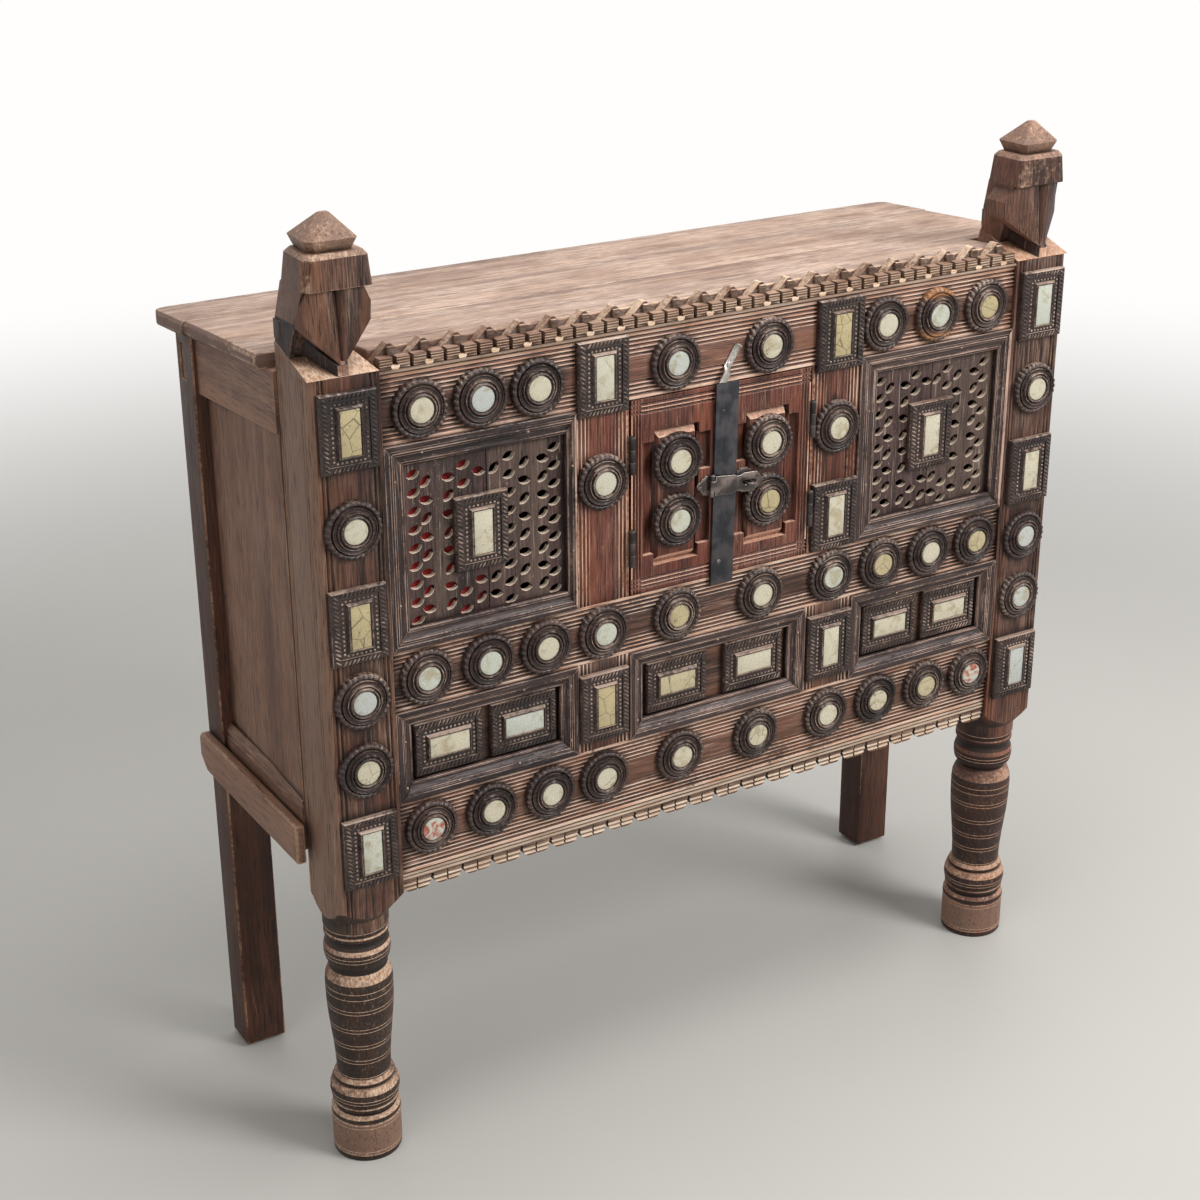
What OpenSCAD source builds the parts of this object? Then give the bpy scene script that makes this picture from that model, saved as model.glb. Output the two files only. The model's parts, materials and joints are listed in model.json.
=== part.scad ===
/* [Overall] */
// Width across the front faces of the two front posts
front_w = 1120; // [1040:1:1240]
// Depth from the faces of the front posts to the backs of the rear posts
frame_d = 384; // [340:1:440]
// Height of the lower edge of the bottom rail above the floor
case_z = 417; // [400:1:460]

/* [Front posts] */
// Width of a post's front face
post_w = 83; // [80:0.5:90]
// Depth of a post
post_d = 87; // [84:0.5:96]
// Chamfer on the outer front corner of a post
post_chamfer = 6.6; // [4:0.1:9]
// Height of the turned leg, up to the square part
leg_h = 383; // [375:1:395]
// Radius of each leg's neck between its upper ring and its vase, left then right
leg_neck_r = [38, 34]; // [30:0.5:39]
// Thickness of the foot, which sets the scale of the turning
foot_r = 45.5; // [40:0.5:46]
// Height of the post's shoulder, under the finial, above the top rail
shoulder_rise = 8; // [4:1:12]
// Height of the finial above the shoulder
finial_h = 183; // [160:1:210]
// Sideways lean of each finial, left then right
finial_lean = [0, 8]; // [0:1:12]
// Depth of each finial's hat, left then right
finial_depth = [70, 62]; // [56:1:76]
// How far each neck is cut in from the inner side, left then right
finial_cut = [20, 7]; // [6:1:24]

/* [Rear posts and sides] */
// Width of a rear post
rear_post_w = 58; // [50:1:70]
// Depth of a rear post
rear_post_d = 52; // [44:1:60]
// How far the rear posts stand outside the front faces
side_step = 17; // [14:0.5:20]
// Height of the glides under the rear posts
glide_h = 5; // [3:0.5:8]
// Diameter of a glide
glide_d = 30; // [20:1:40]
// Thickness of the side rails
side_rail_t = 22; // [18:1:26]
// Height of the upper side rail
side_top_rail_h = 76; // [60:1:100]
// Height of the lower side rail
side_bottom_rail_h = 75; // [60:1:90]
// Thickness of a side panel
side_panel_t = 10; // [6:1:12]
// Depth of the panel's recess at the rear post
side_recess = 17; // [12:1:22]
// Height of the batten outside the lower rail
batten_h = 54; // [36:1:60]
// Thickness of that batten
batten_t = 13; // [10:0.5:18]
// Distance of the batten's front end behind the post's face
batten_front = 66; // [60:1:80]

/* [Front boards] */
// Recess of the boards behind the posts' faces
board_recess = 4; // [2:0.5:6]
// Thickness of the rails and stiles
board_t = 28; // [24:1:34]
// Height of the bottom rail
bottom_rail_h = 99; // [90:1:110]
// Height of the openings for the lower panels
panel_open_h = 125; // [122:1:140]
// Height of the middle rail
mid_rail_h = 79; // [76:1:90]
// Height of the openings for the doors and lattices
door_open_h = 261; // [255:1:280]
// Height of the top rail
top_rail_h = 85; // [80:1:100]
// Width of the stiles
stile_w = 77; // [76:0.5:84]
// Width of the opening for the doors
door_open_w = 281; // [270:1:300]
// Distance between reeds
reed_pitch = 5.5; // [5:0.1:7]
// Width of the groove between reeds
reed_w = 4.2; // [3:0.1:4.8]
// Depth of the groove between reeds
reed_depth = 2; // [1:0.1:3]

/* [Crests] */
// Number of teeth on the top crest
tooth_count = 22; // [16:1:28]
// Height of the front blocks of the crest
tooth_h = 19; // [12:1:20]
// Height of the gables above the front blocks
gable_h = 13; // [8:1:18]
// Width of the slot between front blocks
tooth_slot = 5; // [3:0.5:8]
// Drop of the notched strip below the bottom rail
hang_h = 29; // [24:1:34]
// Width of the slot between hanging teeth
hang_slot = 4; // [3:0.5:6]

/* [Bosses] */
// Diameter of a round boss
round_boss_d = 74; // [66:0.5:74]
// Height of every boss
boss_h = 13; // [11:0.5:15]
// Height of the roped rim of a round boss
rope_h = 7; // [6:0.5:7]
// Diameter of a round mirror
mirror_d = 33; // [28:0.5:36]
// Short side of a rectangular boss
rect_boss_w = 73; // [66:0.5:73]
// Long side of a rectangular boss
rect_boss_h = 95; // [88:0.5:95]
// Short side of a rectangular mirror
rect_mirror_w = 26; // [22:0.5:30]
// Long side of a rectangular mirror
rect_mirror_h = 56; // [50:0.5:62]
// Thickness of the mirror glass
mirror_t = 2; // [1:0.1:3]

/* [Lattices] */
// Width of the mouldings over the lattices
lattice_head_w = 27.5; // [22:0.5:30]
// Width of the mouldings under the lattices
lattice_sill_w = 26; // [22:0.5:30]
// Widths of the left lattice's mouldings at its left and right
left_lattice_w = [27, 12]; // [10:0.5:34]
// Widths of the right lattice's mouldings at its left and right
right_lattice_w = [32, 20]; // [10:0.5:34]
// Thickness of the pierced boards
lattice_t = 8; // [6:0.5:10]
// Depth of the pierced boards behind the posts' faces
lattice_y = 14; // [12:0.5:18]
// Length of a pierced leaf
leaf_l = 18; // [12:0.5:19]
// Width of a pierced leaf
leaf_w = 11; // [6:0.5:12]
// Distance between leaves in a column
leaf_pitch = 23.3; // [22:0.1:30]
// Thickness of the cloth behind the left lattice
cloth_t = 1; // [0.6:0.1:2]

/* [Lower panels] */
// Width of the mouldings round the lower panels
panel_moulding_w = 24; // [20:0.5:24.5]
// Depth of the lower panels behind the posts' faces
panel_y = 18; // [16:0.5:20]
// Thickness of the lower panels
panel_t = 10; // [8:0.5:12]

/* [Doors] */
// Depth of the door leaves behind the posts' faces
door_recess = 3; // [2.8:0.1:3.6]
// Thickness of a door leaf
door_t = 22; // [18:0.5:24]
// Gap between a leaf and its stile, which holds the hinge
hinge_gap = 3; // [2.8:0.1:4]
// Gap between the two leaves at their faces
meeting_gap = 2; // [1.6:0.1:4]
// How much narrower a leaf is at its back, so that it clears the other
meeting_bevel = 3; // [3:0.1:5]
// Gap over and under a leaf
door_gap = 1.5; // [1:0.1:3]
// Depth of the channel round the raised field
channel_depth = 9; // [6:0.5:12]
// Thickness of the ledges on a leaf's back
ledge_t = 12; // [8:0.5:16]

/* [Ironwork] */
// Radius of a hinge barrel
barrel_r = 4; // [3.5:0.1:4]
// Radius of a hinge pin
pin_r = 2.2; // [1.6:0.1:2.4]
// Height of a door hinge
hinge_h = 48; // [40:1:56]
// Thickness of a hinge plate
hinge_plate_t = 1.2; // [1:0.1:1.2]
// Radial play of every pin in its bore
pin_play = 0.05; // [0.02:0.01:0.09]
// Width of the bar over the joint between the leaves
bar_w = 34; // [30:0.5:36]
// Thickness of that bar
bar_t = 5; // [4:0.5:6]
// How far the bar's upper end stands above the door opening
bar_above = 1; // [0:0.5:2]
// How far the bar's lower end hangs below the door opening
bar_below = 10; // [4:0.5:14]
// Tilt of the bar
bar_tilt = 1; // [0:0.1:1.2]
// Height of the hasp's centre line at its pin
hasp_z = 848.5; // [847:0.5:850]
// Droop of the hasp's free end, in degrees
hasp_droop = 3.5; // [3:0.1:4]
// Width of the hasp strap
hasp_h = 26; // [24:0.5:26]
// Length of the hasp strap from its pin
hasp_l = 77; // [76:0.5:78]
// Thickness of the hasp strap
hasp_t = 2.4; // [2:0.1:3]
// Radius of the staple's wire
staple_r = 1.8; // [1.5:0.1:2]
// Reach of the staple in front of the posts' faces
staple_reach = 17; // [15:0.5:18]
// Thickness of the turn catch
catch_t = 2; // [1.6:0.1:2.4]
// Width of the turn catch
catch_w = 10; // [8:0.5:11]

/* [Top and case] */
// Thickness of the top planks
top_t = 20; // [16:0.5:22]
// How far the planks' underside over the rear posts lies below the top rail's upper edge
top_seat = 16; // [12:1:20]
// Fall of the top towards the back, in degrees
top_slope = 3.5; // [3:0.1:4]
// Overhang of the top beyond the rear posts' outer faces
top_side = 9; // [4:0.5:9]
// Overhang of the top behind the rear posts
top_back = 47; // [20:1:55]
// Thickness of the floor boards
floor_t = 14; // [10:0.5:18]
// Thickness of the back boards
back_t = 12; // [8:0.5:16]
// Thickness of the bearers under the floor and the top
bearer_t = 22; // [16:1:26]
// Thickness of the back rails
back_rail_t = 22; // [16:1:24]

/* [Hidden] */
$fn = 48;
// Play between pieces of one body that slide past each other when assembled
fit = 0.5;
// Clearance between pieces of different bodies
clear = 0.4;
// The bar's seat: it lies this far in front of the leaves' faces
bar_seat = 0.4;
top_back_y = frame_d + top_back;
face_y = (staple_reach - top_back_y) / 2;
post_x = front_w / 2;
inner_x = post_x - post_w;
side_x = post_x + side_step;
rear_y = frame_d - rear_post_d;
panel_z = case_z + bottom_rail_h;
mid_z = panel_z + panel_open_h;
door_z = mid_z + mid_rail_h;
top_rail_z = door_z + door_open_h;
crest_z = top_rail_z + top_rail_h;
shoulder_z = crest_z + shoulder_rise;
top_under = crest_z - top_seat;
top_z = top_under + top_t;
top_pivot = frame_d - 34;
open_x = door_open_w / 2;
bay_in = open_x + stile_w;
bay_x = (inner_x + bay_in) / 2;
stile_x = open_x + barrel_r - hinge_gap / 2 + clear + round_boss_d / 2;
board_back = board_recess + board_t;
leg_x = 37;
leg_y = 50;
reed_margin = 6;
boss_x = 39;
// Where the maker set each round boss, from the middle of its bay
top_left_set = [-81, -1, 76];
top_middle_set = [-74, 68];
top_right_set = [-93, -6, 79];
mid_left_set = [-85, 0, 82];
mid_middle_set = [-69, 63];
mid_right_set = [-82, 2, 85];
bottom_left_set = [-87, -1, 85];
bottom_middle_set = [-62, 61];
bottom_right_set = [-79, 8, 91];
top_boss_z = top_rail_z + 39;
mid_boss_z = mid_z + mid_rail_h / 2;
bottom_boss_z = case_z + 57;
post_round_z = [panel_z + 62, mid_z + 30, top_rail_z - 91];
post_rect_z = [case_z + 51, door_z + 51, crest_z - 56];
axis_x = open_x - hinge_gap / 2;
axis_y = door_recess - barrel_r - 1;
hinge_z = [door_z + 66, door_z + 190];
leaf_x = open_x - hinge_gap;
bar_back = door_recess - bar_seat;
bar_front = bar_back - bar_t;
bar_z = door_z - bar_below;
bar_h = door_open_h + bar_below + bar_above;
hasp_x = -19.5;
hasp_pin_r = 1.3;
hasp_barrel_r = 3.1;
hasp_back = door_recess - rope_h - clear;
hasp_axis_y = hasp_back - hasp_t + hasp_barrel_r;
catch_x = 6.5;
catch_z = top_rail_z + 23.5;
catch_tilt = 32;
catch_bore_r = 1.6;
side_rail_out = side_x - 6;
side_rail_in = side_rail_out - side_rail_t;
side_bottom_z = case_z + 23;
floor_z = case_z + 24;

// A box from its ranges: x across, y back from the posts' faces, z up
module block(x, y, z)
  translate([x[0], face_y + y[0], z[0]])
    cube([x[1] - x[0], y[1] - y[0], z[1] - z[0]]);

// A (y, z) outline run along X
module along_x(x)
  translate([x[0], face_y, 0]) rotate([90, 0, 90]) linear_extrude(x[1] - x[0]) children();

// An (x, z) outline run along Y
module along_y(y)
  translate([0, face_y + y[1], 0]) rotate([90, 0, 0]) linear_extrude(y[1] - y[0]) children();

// An (x, y) outline run along Z
module along_z(z)
  translate([0, face_y, z[0]]) linear_extrude(z[1] - z[0]) children();

module both_sides() {
  children();
  mirror([1, 0, 0]) children();
}

function swap(points) = [for (p = points) [p[1], p[0]]];
function move_points(points, d) = [for (p = points) p + d];

// Height of the sloping top's underside at a depth
function under_z(y) = top_under + (top_pivot - y) * tan(top_slope);

// Reeds near both edges of a board
function edge_reeds(h, low, high) = concat(
  [for (i = [0 : low - 1]) reed_margin + i * reed_pitch],
  [for (i = [high - 1 : -1 : 0]) h - reed_margin - i * reed_pitch]);

// Cross-section of a reeded board as (depth, height), with its face at depth 0
function reeded(h, t, reeds) = concat(
  [[t, 0], [0, 0]],
  [for (c = reeds) for (p = [[0, c - reed_w / 2], [reed_depth, c], [0, c + reed_w / 2]]) p],
  [[0, h], [t, h]]);

module reeded_rail(x, z, h, low, high)
  along_x(x)
    polygon(move_points(reeded(h, board_t, edge_reeds(h, low, high)), [board_recess, z]));

module reeded_stile(x, z)
  along_z(z)
    polygon(move_points(swap(reeded(stile_w, board_t, edge_reeds(stile_w, 3, 3))),
      [x, board_recess]));

// Front posts, drawn for the left side with x = 0 at the outer edge of the face

function post_outline() = concat(
  [[post_w, post_d], [post_w, 0]],
  [for (c = [post_w - reed_margin, post_w - reed_margin - reed_pitch, reed_margin + reed_pitch,
      reed_margin]) for (p = [[c + reed_w / 2, 0], [c, reed_depth], [c - reed_w / 2, 0]]) p],
  [[0, 0], [-post_chamfer, post_chamfer]],
  [for (c = [post_chamfer + 8, post_chamfer + 14, post_d - 12, post_d - 6])
    for (p = [[-post_chamfer, c - reed_w / 2], [reed_depth - post_chamfer, c],
      [-post_chamfer, c + reed_w / 2]]) p],
  [[-post_chamfer, post_d]]);

// Half-round bead on a turning, as (radius, height) points
function bead(r, z0, z1, bulge) =
  [for (a = [-90 : 22.5 : 90]) [r + bulge * cos(a), (z0 + z1) / 2 + (z1 - z0) / 2 * sin(a)]];

// Outline of the turned leg: foot, ring, vase and neck ring
function leg_outline(neck_r) = concat(
  [[0, 0], [foot_r - 1.5, 0], [foot_r - 0.5, 2], [foot_r, 10], [foot_r - 1, 11], [foot_r, 12],
    [foot_r, 56], [foot_r - 1, 57], [foot_r + 0.4, 58.5], [foot_r, 64], [foot_r - 5, 68],
    [foot_r - 5, 71]],
  bead(foot_r - 4.5, 73, 80, 2.5),
  [[foot_r - 1.5, 82], [foot_r + 0.2, 92], [foot_r - 0.3, 101], [foot_r - 3, 109]],
  bead(foot_r - 8, 111, 118, 2.5),
  [for (t = [0 : 0.1 : 1]) [foot_r - 10 + 8.4 * (1 - cos(180 * t)) / 2, 121 + 125 * t]],
  [[foot_r - 1.4, 256], [foot_r - 2.2, 268], [foot_r - 5, 276], [foot_r - 7.5, 281]],
  [[neck_r, 284], [neck_r, 288], [foot_r - 4, 295], [foot_r - 2.3, 303], [foot_r - 2.3, 312],
    [foot_r - 4, 318], [foot_r - 6.5, 322], [foot_r - 6.5, 328]],
  bead(foot_r - 5, 330, 337, 1.6),
  [[foot_r - 4, 340], [foot_r - 3, leg_h - 34], [0, leg_h - 34]]);

// The square part ends in tongues where this cone cuts its corners
module tongue_cone()
  rotate_extrude($fn = 64)
    polygon([[0, leg_h - 38], [foot_r - 3, leg_h - 38], [foot_r - 3, leg_h - 22],
      [foot_r + 30, leg_h + 19], [foot_r + 30, shoulder_z + 1], [0, shoulder_z + 1]]);

function finial_z(part) = shoulder_z + finial_h * part;

module finial_slab(x, y, z)
  translate([x[0], y[0], z - 0.2])
    cube([x[1] - x[0], y[1] - y[0], 0.2]);

// Plan of the hat: its outer front corner is cut off, and it narrows to the back
module finial_hat(x, y, z, cut)
  translate([0, 0, z - 0.2])
    linear_extrude(0.2)
      polygon([[x[0] + 8, y[0]], [x[1] - cut, y[0]], [x[1], y[0] + cut], [x[1], y[1] - cut],
        [x[1] - cut, y[1]], [x[0] + 3 + cut, y[1]], [x[0] + 3, y[1] - cut], [x[0], y[0] + 8]]);

// Hat block, pyramid cap, two-petalled beak and a rib down each side, cut from the top of the post
module finial(lean, depth, cut) {
  c = boss_x + lean;
  out = -post_chamfer;
  rib_end = shoulder_z + 13;
  hull() {
    finial_slab([out, post_w], [0, post_d], shoulder_z);
    finial_slab([out, post_w - cut], [post_d - 6, post_d], finial_z(0.15));
  }
  hull() {
    finial_slab([out, post_w - cut], [48, post_d - 1], finial_z(0.08));
    finial_slab([out + 2, post_w - cut], [32, post_d - 3], finial_z(0.32));
    finial_slab([c - 39, c + 38], [14, depth + 4], finial_z(0.55));
  }
  difference() {
    hull() {
      finial_slab([boss_x - 2, boss_x + 2], [1, 5], rib_end);
      finial_slab([boss_x - 21, boss_x + 21], [14, 50], finial_z(0.2));
      finial_slab([c - 43, c + 46], [21, 58], finial_z(0.3));
      finial_slab([c - 42, c + 47], [20, 58], finial_z(0.42));
      finial_slab([c - 13, c + 13], [2, 50], finial_z(0.38));
      finial_slab([c - 13, c + 13], [4, 50], finial_z(0.55));
      finial_slab([c - 34, c + 34], [12, 50], finial_z(0.55));
    }
    translate([c - lean / 2, 5, rib_end + 4]) rotate([-7, 0, 0])
      linear_extrude(finial_h * 0.5) polygon([[-13, -16], [13, -16], [0, 0]]);
  }
  hull() {
    finial_hat([c - 43, c + 42], [1, depth + 2], finial_z(0.545), 3);
    finial_hat([c - 39, c + 39], [2, depth], finial_z(0.735), 4);
    finial_hat([c - 35, c + 35], [6, depth - 4], finial_z(0.765), 5);
  }
  hull() {
    finial_hat([c - 28, c + 25], [14, depth - 4], finial_z(0.765), 4);
    finial_hat([c - 33, c + 30], [8, depth + 2], finial_z(0.84), 4);
    finial_hat([c - 6, c + 6], [depth / 2 - 6, depth / 2 + 4], finial_z(0.985), 1);
  }
  for (side = [0, 1])
    hull() {
      finial_slab([side ? post_w - cut - 10 : out, side ? post_w - cut : out + 9],
        [post_d - 16, post_d - 1], finial_z(0.3));
      finial_slab([side ? post_w - cut - 10 : out, side ? post_w - cut : out + 9],
        [post_d - 16, post_d - 1], finial_z(0.18));
      finial_slab([boss_x - 7, boss_x + 6], [0.5, 9], rib_end);
      finial_slab([boss_x - 7, boss_x + 6], [0.5, 9], shoulder_z);
    }
}

module front_post(lean, depth, cut, neck_r) {
  translate([-post_x, face_y, 0]) {
    translate([leg_x, leg_y, 0]) rotate_extrude($fn = 64) polygon(leg_outline(neck_r));
    intersection() {
      translate([0, 0, leg_h - 38]) linear_extrude(shoulder_z - leg_h + 38)
        polygon(post_outline());
      translate([leg_x, leg_y, 0]) tongue_cone();
    }
    finial(lean, depth, cut);
  }
}

module left_front_post() color("#4a352b")
  front_post(finial_lean[0], finial_depth[0], finial_cut[0], leg_neck_r[0]);
module right_front_post() color("#4a352b")
  mirror([1, 0, 0]) front_post(finial_lean[1], finial_depth[1], finial_cut[1], leg_neck_r[1]);

// Rear posts with through mortises for the tenons of the back rails

tenon_t = 10;
tenon_z = [top_under - 62, top_under - 16];
low_tenon_z = [floor_z - 6, floor_z + 36];
tenon_y = rear_y + 26;

module rear_post() {
  difference() {
    along_x([side_x - rear_post_w, side_x])
      polygon([[rear_y, glide_h], [frame_d, glide_h], [frame_d, under_z(frame_d)],
        [rear_y, under_z(rear_y)]]);
    for (z = [tenon_z, low_tenon_z])
      block([side_x - rear_post_w - 1, side_x + 1], [tenon_y, tenon_y + tenon_t + 4], z);
  }
}

module left_rear_post() color("#5b3524") mirror([1, 0, 0]) rear_post();
module right_rear_post() color("#5b3524") rear_post();

module rear_glides()
  color("#e8e6df") both_sides()
    translate([side_x - rear_post_w / 2, face_y + frame_d - rear_post_d / 2, 0])
      cylinder(d = glide_d, h = glide_h);

// Top planks, notched round the posts

ear_y = post_d + 16;
plank_y = [board_back + 1, frame_d - 206, frame_d - 57, top_back_y];
corner_r = 22;

// Section of the top across the grain, with eased edges
module plank_section(extra) {
  x = side_x + top_side + extra;
  polygon([[-x, top_under + 6], [-x + 5, top_under], [x - 5, top_under], [x, top_under + 6],
    [x, top_z - 4], [x - 4, top_z], [4 - x, top_z], [-x, top_z - 4]]);
}

// The planks are drawn level and then tipped about a line over the rear posts
module plank(y, extra = 0)
  translate([0, face_y + top_pivot, top_under]) rotate([-top_slope, 0, 0])
    translate([0, -face_y - top_pivot, -top_under]) difference() {
      along_y(y) plank_section(extra);
      both_sides()
        block([inner_x - 1, side_x + top_side + 1], [0, ear_y], [top_under - 1, top_z + 1]);
    }

module top_front_board() color("#a07a66") plank([plank_y[0], plank_y[1] - fit]);
module top_middle_board() color("#9a7462") plank([plank_y[1], plank_y[2] - fit]);

module top_rear_board() color("#94705f") intersection() {
  plank([plank_y[2], plank_y[3]], 4);
  along_z([top_under - 40, top_z + 40]) hull() {
    x = side_x + top_side + 4 - corner_r;
    both_sides() translate([x, top_back_y - corner_r - 0.4]) circle(corner_r);
    translate([-side_x - top_side, 0]) square([2 * (side_x + top_side), 10]);
  }
}

module top_bearers() color("#6b4a38") {
  y = board_back + bearer_t;
  along_x([fit - inner_x, inner_x - fit])
    polygon([[board_back, top_rail_z + 44], [y, top_rail_z + 44], [y, under_z(y)],
      [board_back, under_z(board_back)]]);
  both_sides()
    along_x([bay_in - 40, bay_in])
      polygon([[y, under_z(y) - bearer_t], [back_board_y, under_z(back_board_y) - bearer_t],
        [back_board_y, under_z(back_board_y)], [y, under_z(y)]]);
}

// Rails and stiles of the front

module top_rail() color("#53362c") reeded_rail([-inner_x, inner_x], top_rail_z, top_rail_h, 4, 5);
module mid_rail() color("#4e342a") reeded_rail([-inner_x, inner_x], mid_z, mid_rail_h, 4, 4);
module bottom_rail() color("#573a2d") reeded_rail([-inner_x, inner_x], case_z, bottom_rail_h, 6, 5);
module left_upper_stile() color("#5a3026") reeded_stile(-bay_in, [door_z, top_rail_z]);
module right_upper_stile() color("#5a3026") reeded_stile(open_x, [door_z, top_rail_z]);
module left_lower_stile() color("#4a3029") reeded_stile(-bay_in, [panel_z, mid_z]);
module right_lower_stile() color("#4a3029") reeded_stile(open_x, [panel_z, mid_z]);

// Crests

tooth_pitch = 2 * inner_x / tooth_count;
crest_base_h = 3;
block_depth = 14;

module crest_bead()
  color("#6b4434") along_x([-inner_x, inner_x]) intersection() {
    translate([board_recess, crest_z + 2.5]) circle(r = 2.5);
    translate([0, crest_z]) square([board_recess, 5]);
  }

cut_w = 11;
reed_gap = 3.2;

// Front block of a tooth, reeded along its face and cut with a triangle
module tooth_front() {
  w = tooth_pitch - tooth_slot;
  reeds = [for (z = [crest_base_h + 1 : reed_gap : tooth_h - 1]) z];
  difference() {
    along_x([-w / 2, w / 2])
      polygon(concat([[board_recess + block_depth - 5, crest_z], [board_recess, crest_z]],
        [for (z = reeds) for (p = [[0, -0.7], [1, 0], [0, 0.7]]) [board_recess + p[0], crest_z + z + p[1]]],
        [[board_recess, crest_z + tooth_h], [board_recess + block_depth - 5, crest_z + tooth_h]]));
    along_y([0, board_recess + block_depth - 5]) translate([0, crest_z])
      polygon([[-cut_w / 2, crest_base_h - 0.5], [cut_w / 2, crest_base_h - 0.5], [1.2, tooth_h + 1],
        [-1.2, tooth_h + 1]]);
  }
}

module top_crest() color("#8a6350") {
  block([-inner_x + fit, inner_x - fit], [board_recess, board_back], [crest_z, crest_z + crest_base_h]);
  for (i = [0 : tooth_count - 1])
    translate([(i + 0.5) * tooth_pitch - inner_x, 0, 0]) {
      tooth_front();
      along_y([board_recess + block_depth - 5, board_recess + block_depth])
        translate([(tooth_slot - tooth_pitch) / 2, crest_z])
          square([tooth_pitch - tooth_slot, tooth_h]);
      along_y([board_recess + block_depth, board_back])
        translate([0, crest_z])
          polygon([[fit - tooth_pitch / 2, 0], [tooth_pitch / 2 - fit, 0],
            [tooth_pitch / 2 - fit, tooth_h - 5], [2, tooth_h + gable_h],
            [-2, tooth_h + gable_h], [fit - tooth_pitch / 2, tooth_h - 5]]);
      along_y([board_recess + block_depth - 5, board_recess + block_depth + 3])
        translate([-4, crest_z]) square([8, tooth_h + gable_h - 3]);
    }
}

hang_t = 18;
hang_cut = 9;

// One hanging scallop: two reeded dentils with rounded outer corners
module scallop() {
  w = tooth_pitch - hang_slot;
  drop = hang_h - 12;
  intersection() {
    for (side = [-1, 1])
      along_x(side < 0 ? [-w / 2, -1] : [1, w / 2])
        polygon(move_points(reeded(drop, hang_t - 3, [5, 11]), [board_recess + 1, case_z - hang_h]));
    along_y([0, board_back]) translate([0, case_z - hang_h])
      polygon(concat(
        [for (a = [180 : 22.5 : 270]) [hang_cut - w / 2 + hang_cut * cos(a), hang_cut + hang_cut * sin(a)]],
        [for (a = [270 : 22.5 : 360]) [w / 2 - hang_cut + hang_cut * cos(a), hang_cut + hang_cut * sin(a)]],
        [[w / 2, drop + 1], [-w / 2, drop + 1]]));
  }
}

module bottom_crest() color("#8d6b52") {
  along_x([-inner_x + fit, inner_x - fit])
    polygon(move_points(reeded(12, hang_t, [3.5, 8.5]), [board_recess + 1, case_z - 12]));
  for (i = [0 : tooth_count - 1])
    translate([(i + 0.5) * tooth_pitch - inner_x, 0, 0]) scallop();
}

// Mitred frames, with one outline per kind of moulding as (width, depth)

// Each outline is drawn for a width of 26 and scaled across to the moulding's own
function scaled_outline(points, w, back) =
  concat([[0, back]], [for (p = points) [p[0] * w / 26, p[1]]], [[w, back]]);
function lattice_outline(w) = scaled_outline([[0, 1], [1, 0], [7, 0], [8.5, 1.6], [10, 0.5],
  [13, 1], [15, 3.4], [20, 5], [22, 4], [25, 4.6], [26, 6]], w, lattice_y);
function panel_outline(w) = scaled_outline([[0, 1], [1, 0], [9, 0], [10, 1.5], [11.5, 0.6],
  [14, 1.6], [16.5, 4.5], [22, 7], [23, 6.2], [25, 7], [26, 9]], w, panel_y);

module mitred_side(length, width, ends)
  along_y([-1, 40])
    polygon([[fit, 0], [length - fit, 0], [length - ends[1] - fit, width], [ends[0] + fit, width]]);

// Four mouldings round an opening with its lower left corner at (x, z); widths: left, top, right, bottom
module mitred_frame(x, z, w, h, widths, kind) translate([x, 0, z]) {
  for (top = [0, 1])
    translate([0, 0, top ? h : 0]) mirror([0, 0, top]) intersection() {
      width = widths[top ? 1 : 3];
      along_x([0, w]) polygon(swap(kind == "lattice" ? lattice_outline(width) : panel_outline(width)));
      mitred_side(w, width, [widths[0], widths[2]]);
    }
  for (right = [0, 1])
    translate([right ? w : 0, 0, h]) mirror([right, 0, 0]) rotate([0, 90, 0]) intersection() {
      width = widths[right ? 2 : 0];
      along_x([0, h]) polygon(swap(kind == "lattice" ? lattice_outline(width) : panel_outline(width)));
      mitred_side(h, width, [widths[1], widths[3]]);
    }
}

bay_w = inner_x - bay_in;

module lattice_frame(x, sides) color("#2b2224")
  mitred_frame(x, door_z, bay_w, door_open_h, [sides[0], lattice_head_w, sides[1], lattice_sill_w],
    "lattice");

module left_lattice_frame() lattice_frame(-inner_x, left_lattice_w);
module right_lattice_frame() lattice_frame(bay_in, right_lattice_w);

module panel_frames() color("#33262a") {
  widths = [for (i = [0 : 3]) panel_moulding_w];
  for (x = [-inner_x, bay_in]) mitred_frame(x, panel_z, bay_w, panel_open_h, widths, "panel");
  mitred_frame(-open_x, panel_z, door_open_w, panel_open_h, widths, "panel");
}

// Pierced boards, with columns of leaning leaves that none is cut from behind the boss

lattice_z = door_z + door_open_h / 2;
leaf_mid_z = door_z + (door_open_h + lattice_sill_w - lattice_head_w) / 2 - 6;
leaf_rows = floor((door_open_h - lattice_head_w - lattice_sill_w - leaf_l) / leaf_pitch);
outer_leaves = [16, 32, 62];
door_leaves = [13, 29, 55];
filling_leaves = 4;

// Columns across a bay from its left edge, the filling ones over and under the boss
function leaf_columns(sides, left_set, right_set) = let (
    near = sides[0] + left_set[2],
    far = bay_w - sides[1] - right_set[2],
    step = (far - near) / (filling_leaves + 1))
  concat([for (d = left_set) sides[0] + d], [for (i = [1 : filling_leaves]) near + i * step],
    [for (i = [2 : -1 : 0]) bay_w - sides[1] - right_set[i]]);

left_columns = leaf_columns(left_lattice_w, outer_leaves, door_leaves);
right_columns = leaf_columns(right_lattice_w, door_leaves, outer_leaves);
function lattice_joint(columns) = (columns[4] + columns[5]) / 2;

module leaf(turn)
  rotate(turn) intersection() {
    r = (leaf_l * leaf_l / leaf_w + leaf_w) / 4;
    translate([0, r - leaf_w / 2]) circle(r);
    translate([0, leaf_w / 2 - r]) circle(r);
  }

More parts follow.
